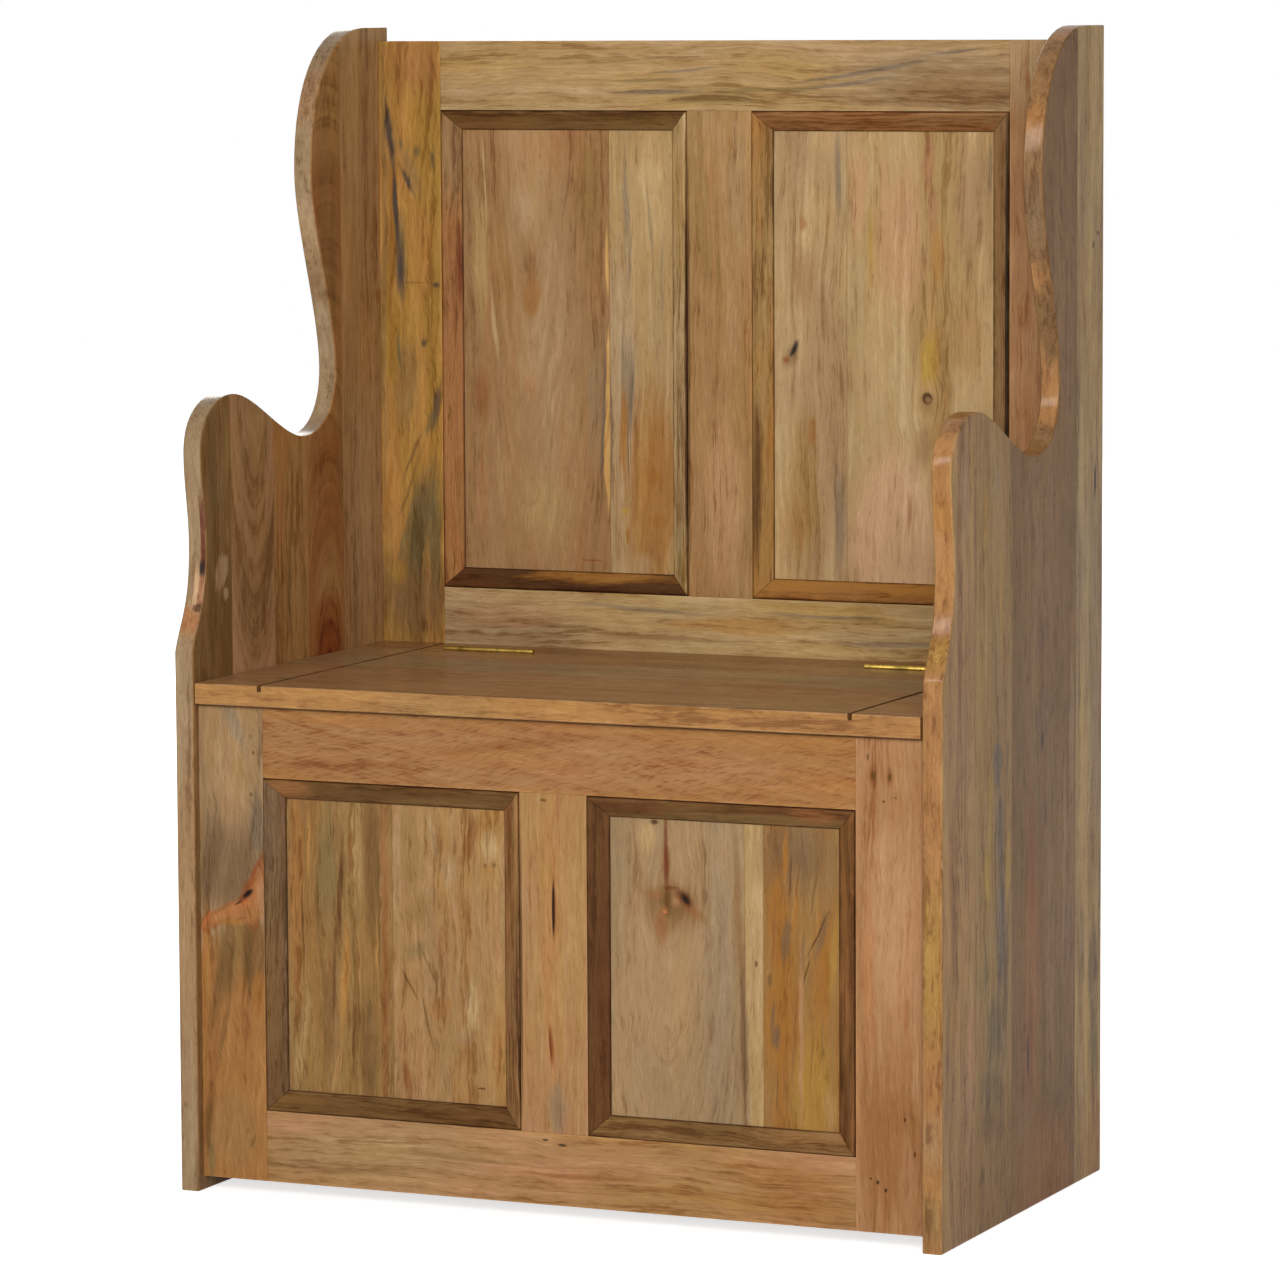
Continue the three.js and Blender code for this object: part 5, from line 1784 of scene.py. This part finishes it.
        # Painted shade with dirt: dark lines where the right mouldings' lips meet the muntin and
        # the stile.
        left_gap_shade_and_dirt = Stain((-0.0365, 0.8), (0.002, 0.27), Hue.UMBER, 0.9, rag=0.3, soft=0.6)
        right_gap_shade_and_dirt = Stain((0.3075, 0.85), (0.0022, 0.3), Hue.TAR, 0.9, rag=0.3, soft=0.6)
        crown = Stain((-0.3, 1.01), (0.02, 0.07), Hue.DRAB, 0.9)
        rust = Stain((-0.292, 0.885), (0.007, 0.06), Hue.BRICK)
        streak = Stain((0.04, 0.68), (0.006, 0.14), Hue.UMBER)
        swirl = Stain((0.574, -0.13), (0.009, 0.11), Hue.AMBER, rag=0.9)
        return self.mouldings(
            "back",
            50.0,
            (Hue.SIENNA, Hue.CHESTNUT, crown, rust),
            (Hue.STRAW, Hue.WHEAT, left_gap_shade_and_dirt),
            (Hue.WALNUT, Hue.NUT),
            (Hue.BARK, Hue.UMBER, swirl),
            (Hue.KHAKI, Hue.AMBER, streak),
            (Hue.DRAB, Hue.DRAB, right_gap_shade_and_dirt),
            (Hue.CHESTNUT, Hue.COCOA),
            (Hue.CHESTNUT, Hue.AMBER),
        )


@dataclass
class Seat(Joinery):
    """The lid of the chest and the fixed strip behind it.

    groove_place: how far from the middle of the bench the two grooves lie.
    groove_half: half their width.
    groove_depth: how deep their painted shade goes.
    hinge_place: how far from the middle of the bench the two hinges lie.
    hinge_shade_and_dirt: half sizes of the painted shade and dirt beside a hinge.
    lid_back, strip_front: where the lid ends and the strip starts, from front to back.
    """

    ease: float = 0.0016
    rounds: int = 3
    groove_place: float = 0.308
    groove_half: float = 0.0027
    groove_depth: float = 0.0066
    hinge_place: float = 0.231
    hinge_shade_and_dirt: Pair = (0.0055, 0.050)
    lid_back: float = 0.130
    strip_front: float = 0.147

    def finishes(self) -> dict[str, Wood]:
        """Gives the finish of the lid and the strip.

        Returns:
            The finishes by their names.
        """
        lid = Wood(
            Axis.X,
            Axis.Y,
            (
                Stave(-0.12, Hue.TAN, Hue.ROSE, -0.17, 0.04, 0.04),
                Stave(-0.03, Hue.BLUSH, Hue.TAN, -0.07, 0.04, 0.04),
                Stave(0.06, Hue.OAT, Hue.FAWN, 0.2, 0.04, 0.03),
                Stave(PAST_EDGE, Hue.ROSE, Hue.TAN, 0.1, 0.04, 0.04),
            ),
            stains=(
                Stain((-0.05, 0.15), (0.02, 0.2), Hue.CHESTNUT, 0.3),
                Stain((-0.17, 0.1), (0.02, 0.2), Hue.COCOA, 0.3),
                Stain((0.02, -0.1), (0.02, 0.15), Hue.COCOA, 0.5),
                Stain((0.09, 0.05), (0.02, 0.2), Hue.NUT, 0.5),
                *self.grooves(),
                *self.hinge_shade(self.lid_back),
                Stain((-0.219, 0.0), (0.03, PAST_EDGE), Hue.SIENNA, 0.35, rag=0.2, on_rim=True),
                Stain((-0.219, 0.3), (0.03, 0.14), Hue.SIENNA, 0.5, rag=0.2, on_rim=True),
                Stain((-0.219, -0.12), (0.03, 0.1), Hue.BRONZE, 0.4, rag=0.3, on_rim=True),
            ),
            rim=Hue.HONEY,
            seed=61.0,
            contrast=1.1,
            gloss=0.3,
            coat=0.2,
        )
        strip = Wood(
            Axis.X,
            Axis.Y,
            (Stave(PAST_EDGE, Hue.ROSE, Hue.COCOA),),
            stains=(*self.grooves(), *self.hinge_shade(self.strip_front)),
            rim=Hue.HONEY,
            seed=63.0,
            gloss=0.3,
            coat=0.2,
        )
        return {"seat_lid": lid, "seat_strip": strip}

    def grooves(self) -> tuple[Stain, ...]:
        """Gives the painted shade in the two routed grooves.

        Returns:
            One stain for each groove.
        """
        reach = (PAST_EDGE, self.groove_half)
        look = {"rag": 0.0, "soft": 0.3, "down": self.groove_depth}
        return tuple(
            Stain((0.0, place), reach, Hue.UMBER, 0.9, **look)
            for place in (-self.groove_place, self.groove_place)
        )

    def hinge_shade(self, depth: float) -> tuple[Stain, ...]:
        """Gives the painted shade and dirt along one side of the two hinges.

        Args:
            depth: where that side lies, from front to back.

        Returns:
            One stain for each hinge.
        """
        # Painted shade with dirt beside each hinge's barrel.
        return tuple(
            Stain((depth, place), self.hinge_shade_and_dirt, Hue.UMBER, 0.4, rag=0.3, soft=0.8)
            for place in (-self.hinge_place, self.hinge_place)
        )


@dataclass
class ChestInside(Joinery):
    """The floor of the chest and the cleats that carry it and the seat."""

    def finishes(self) -> dict[str, Wood]:
        """Gives the finish of the floor and the cleats.

        Returns:
            The finishes by their names.
        """
        floor = Wood(
            Axis.X,
            Axis.Y,
            (
                Stave(-0.09, Hue.TAN, Hue.OAT, -0.14, 0.04, 0.04),
                Stave(0.02, Hue.ROSE, Hue.TAN, 0.0, 0.04, 0.04),
                Stave(0.11, Hue.OAT, Hue.FAWN, 0.3, 0.04, 0.03),
                Stave(PAST_EDGE, Hue.TAN, Hue.GOLD_TAN, 0.2, 0.04, 0.03),
            ),
            seed=71.0,
        )
        left = Wood(Axis.Y, Axis.Z, (Stave(PAST_EDGE, Hue.TAN, Hue.OAT),), seed=75.0)
        right = Wood(Axis.Y, Axis.Z, (Stave(PAST_EDGE, Hue.OAT, Hue.TAN),), seed=76.0)
        return {
            "chest_floor": floor,
            "floor_cleat_front": lying(Hue.TAN, Hue.OAT, seed=73.0),
            "floor_cleat_back": lying(Hue.ROSE, Hue.TAN, seed=74.0),
            "seat_cleat_left": left,
            "seat_cleat_right": right,
        }


@dataclass
class Hinges:
    """The two brass butt hinges of the lid, with their pins and screws.

    leaf: the finish of the leaves and pins.
    screw: the finish of the screws.
    """

    leaf: Brass = field(default_factory=Brass)
    screw: Brass = field(default_factory=lambda: Brass(bright="cfa850", dull="7c5c26", rough=0.36))

    def dress(self, nodes: dict[str, bpy.types.Object]) -> None:
        """Paints the leaves, pins and screws.

        Args:
            nodes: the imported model's objects by name.
        """
        leaf = self.leaf.paint("hinge_brass")
        screw = self.screw.paint("screw_brass")
        for name, piece in nodes.items():
            if "hinge" in name:
                chosen = screw if "screw" in name else leaf
                for slot in piece.material_slots:
                    slot.material = chosen
                LOG.info("%s: %s", name, chosen.name)


@dataclass(frozen=True)
class Lamp:
    """A soft rectangular lamp.

    name: its name.
    place: where it hangs.
    size: its width and height.
    power: its power in watts.
    """

    name: str
    place: Triple
    size: Pair
    power: float


@dataclass
class Stage:
    """The plain pale floor, the even sky and the soft lamps.

    floor_half: half the floor's width.
    floor_tone: how pale the floor is.
    floor_glow: how white it looks under the bench, from 0 to 1.
    near, far: how far from the middle it starts to turn white, and is white.
    sky: how strongly the sky lights the bench.
    aim: the place that the lamps shine at.
    lamps: the lamps.
    """

    floor_half: float = 9.0
    floor_tone: float = 0.80
    floor_glow: float = 0.70
    near: float = 0.45
    far: float = 1.5
    sky: float = 0.28
    aim: Triple = (0.0, 0.0, 0.56)
    lamps: tuple[Lamp, ...] = (
        Lamp("key", (1.8, -4.2, 1.8), (3.0, 2.2), 156.0),
        Lamp("edge_light", (-1.02, -3.5, 2.35), (0.35, 0.9), 15.0),
        Lamp("light_behind", (-3.0, 3.2, 1.8), (3.0, 2.2), 110.0),
    )

    def set_up(self) -> None:
        """Builds all of the stage."""
        self.floor()
        self.world()
        for lamp in self.lamps:
            self.hang(lamp)
        bpy.context.scene.view_settings.view_transform = "Standard"

    def seen(self, pen: Pen) -> Socket:
        """Gives 1 on camera, glossy and transmission rays, and 0 on the rest.

        Args:
            pen: what writes the nodes.

        Returns:
            The number.
        """
        path = pen.node("ShaderNodeLightPath").outputs
        either = pen.math("MAXIMUM", path["Is Camera Ray"], path["Is Glossy Ray"])
        return pen.math("MAXIMUM", either, path["Is Transmission Ray"])

    def floor(self) -> None:
        """Lays the floor, which keeps the bench's shadow and ends in white."""
        half = self.floor_half
        corners = [(-half, -half, 0.0), (half, -half, 0.0), (half, half, 0.0), (-half, half, 0.0)]
        mesh = bpy.data.meshes.new("floor")
        mesh.from_pydata(corners, [], [(0, 1, 2, 3)])
        ground = bpy.data.objects.new("floor", mesh)
        bpy.context.scene.collection.objects.link(ground)
        paint, pen = new_material("floor_paint")
        where = pen.node("ShaderNodeTexCoord").outputs["Object"]
        length = pen.node("ShaderNodeVectorMath", operation="LENGTH")
        pen.feed(length.inputs[0], where)
        glow = pen.ease(length.outputs["Value"], self.near, self.far, self.floor_glow, 1.0)
        matt = pen.node("ShaderNodeBsdfDiffuse")
        matt.inputs["Color"].default_value = (self.floor_tone,) * 3 + (1.0,)
        shine = pen.node("ShaderNodeEmission")
        shine.inputs["Color"].default_value = WHITE
        pen.feed(shine.inputs["Strength"], pen.math("MULTIPLY", glow, self.seen(pen)))
        both = pen.node("ShaderNodeAddShader")
        pen.feed(both.inputs[0], matt.outputs[0])
        pen.feed(both.inputs[1], shine.outputs[0])
        pen.finish("ShaderNodeOutputMaterial", both.outputs[0])
        mesh.materials.append(paint)

    def world(self) -> None:
        """Makes the even sky, which looks white behind the bench."""
        world = bpy.data.worlds.new("studio")
        bpy.context.scene.world = world
        world.use_nodes = True
        world.node_tree.nodes.clear()
        pen = Pen(world.node_tree)
        back = pen.node("ShaderNodeBackground")
        back.inputs["Color"].default_value = WHITE
        pen.feed(back.inputs["Strength"], pen.ease(self.seen(pen), 0.0, 1.0, self.sky, 1.0))
        pen.finish("ShaderNodeOutputWorld", back.outputs[0])

    def hang(self, lamp: Lamp) -> None:
        """Hangs a lamp that shines at the bench.

        Args:
            lamp: the lamp.
        """
        light = bpy.data.lights.new(lamp.name, "AREA")
        light.shape = "RECTANGLE"
        light.size, light.size_y = lamp.size
        light.energy = lamp.power
        hung = bpy.data.objects.new(lamp.name, light)
        hung.location = lamp.place
        way = Vector(self.aim) - Vector(lamp.place)
        hung.rotation_mode = "QUATERNION"
        hung.rotation_quaternion = way.to_track_quat("-Z", "Y")
        bpy.context.scene.collection.objects.link(hung)


@dataclass
class Viewpoint:
    """The camera, at the photograph's angle.

    place: where it stands.
    turn: how far it is turned from the way to the back, seen from above.
    dip: how far it looks down.
    roll: how far it leans over.
    lens: its focal length, in millimetres.
    film: the width of its film, in millimetres.
    far: how far it sees.
    """

    place: Triple = (2.3391, -5.2781, 1.1548)
    turn: float = 0.4174
    dip: float = 0.1065
    roll: float = -0.0048
    lens: float = 166.59
    film: float = 36.0
    far: float = 60.0

    def set_up(self) -> None:
        """Makes the camera and looks through it."""
        data = bpy.data.cameras.new("camera")
        data.lens = self.lens
        data.sensor_width = self.film
        data.sensor_fit = "AUTO"
        data.clip_end = self.far
        camera = bpy.data.objects.new("camera", data)
        ahead = Vector(
            (
                -math.sin(self.turn) * math.cos(self.dip),
                math.cos(self.turn) * math.cos(self.dip),
                -math.sin(self.dip),
            )
        )
        right = Vector((math.cos(self.turn), math.sin(self.turn), 0.0))
        up = right.cross(ahead)
        right_now = right * math.cos(self.roll) + up * math.sin(self.roll)
        up_now = up * math.cos(self.roll) - right * math.sin(self.roll)
        turned = Matrix((right_now, up_now, -ahead)).transposed().to_4x4()
        camera.matrix_world = Matrix.Translation(self.place) @ turned
        bpy.context.scene.collection.objects.link(camera)
        bpy.context.scene.camera = camera


def write_sizes() -> None:
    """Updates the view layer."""
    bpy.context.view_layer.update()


def main() -> None:
    """Dresses the bench, then sets up the stage and the camera."""
    logging.basicConfig(level=logging.INFO, format="%(message)s")
    nodes = frame["nodes"]
    parts: list[Joinery | Hinges] = [
        EndBoards(),
        ChestFront(),
        Back(),
        Seat(),
        ChestInside(),
        Hinges(),
    ]
    for part in parts:
        part.dress(nodes)
        LOG.info("%s is dressed", type(part).__name__)
    Stage().set_up()
    Viewpoint().set_up()
    write_sizes()


if __name__ == "__main__":
    main()
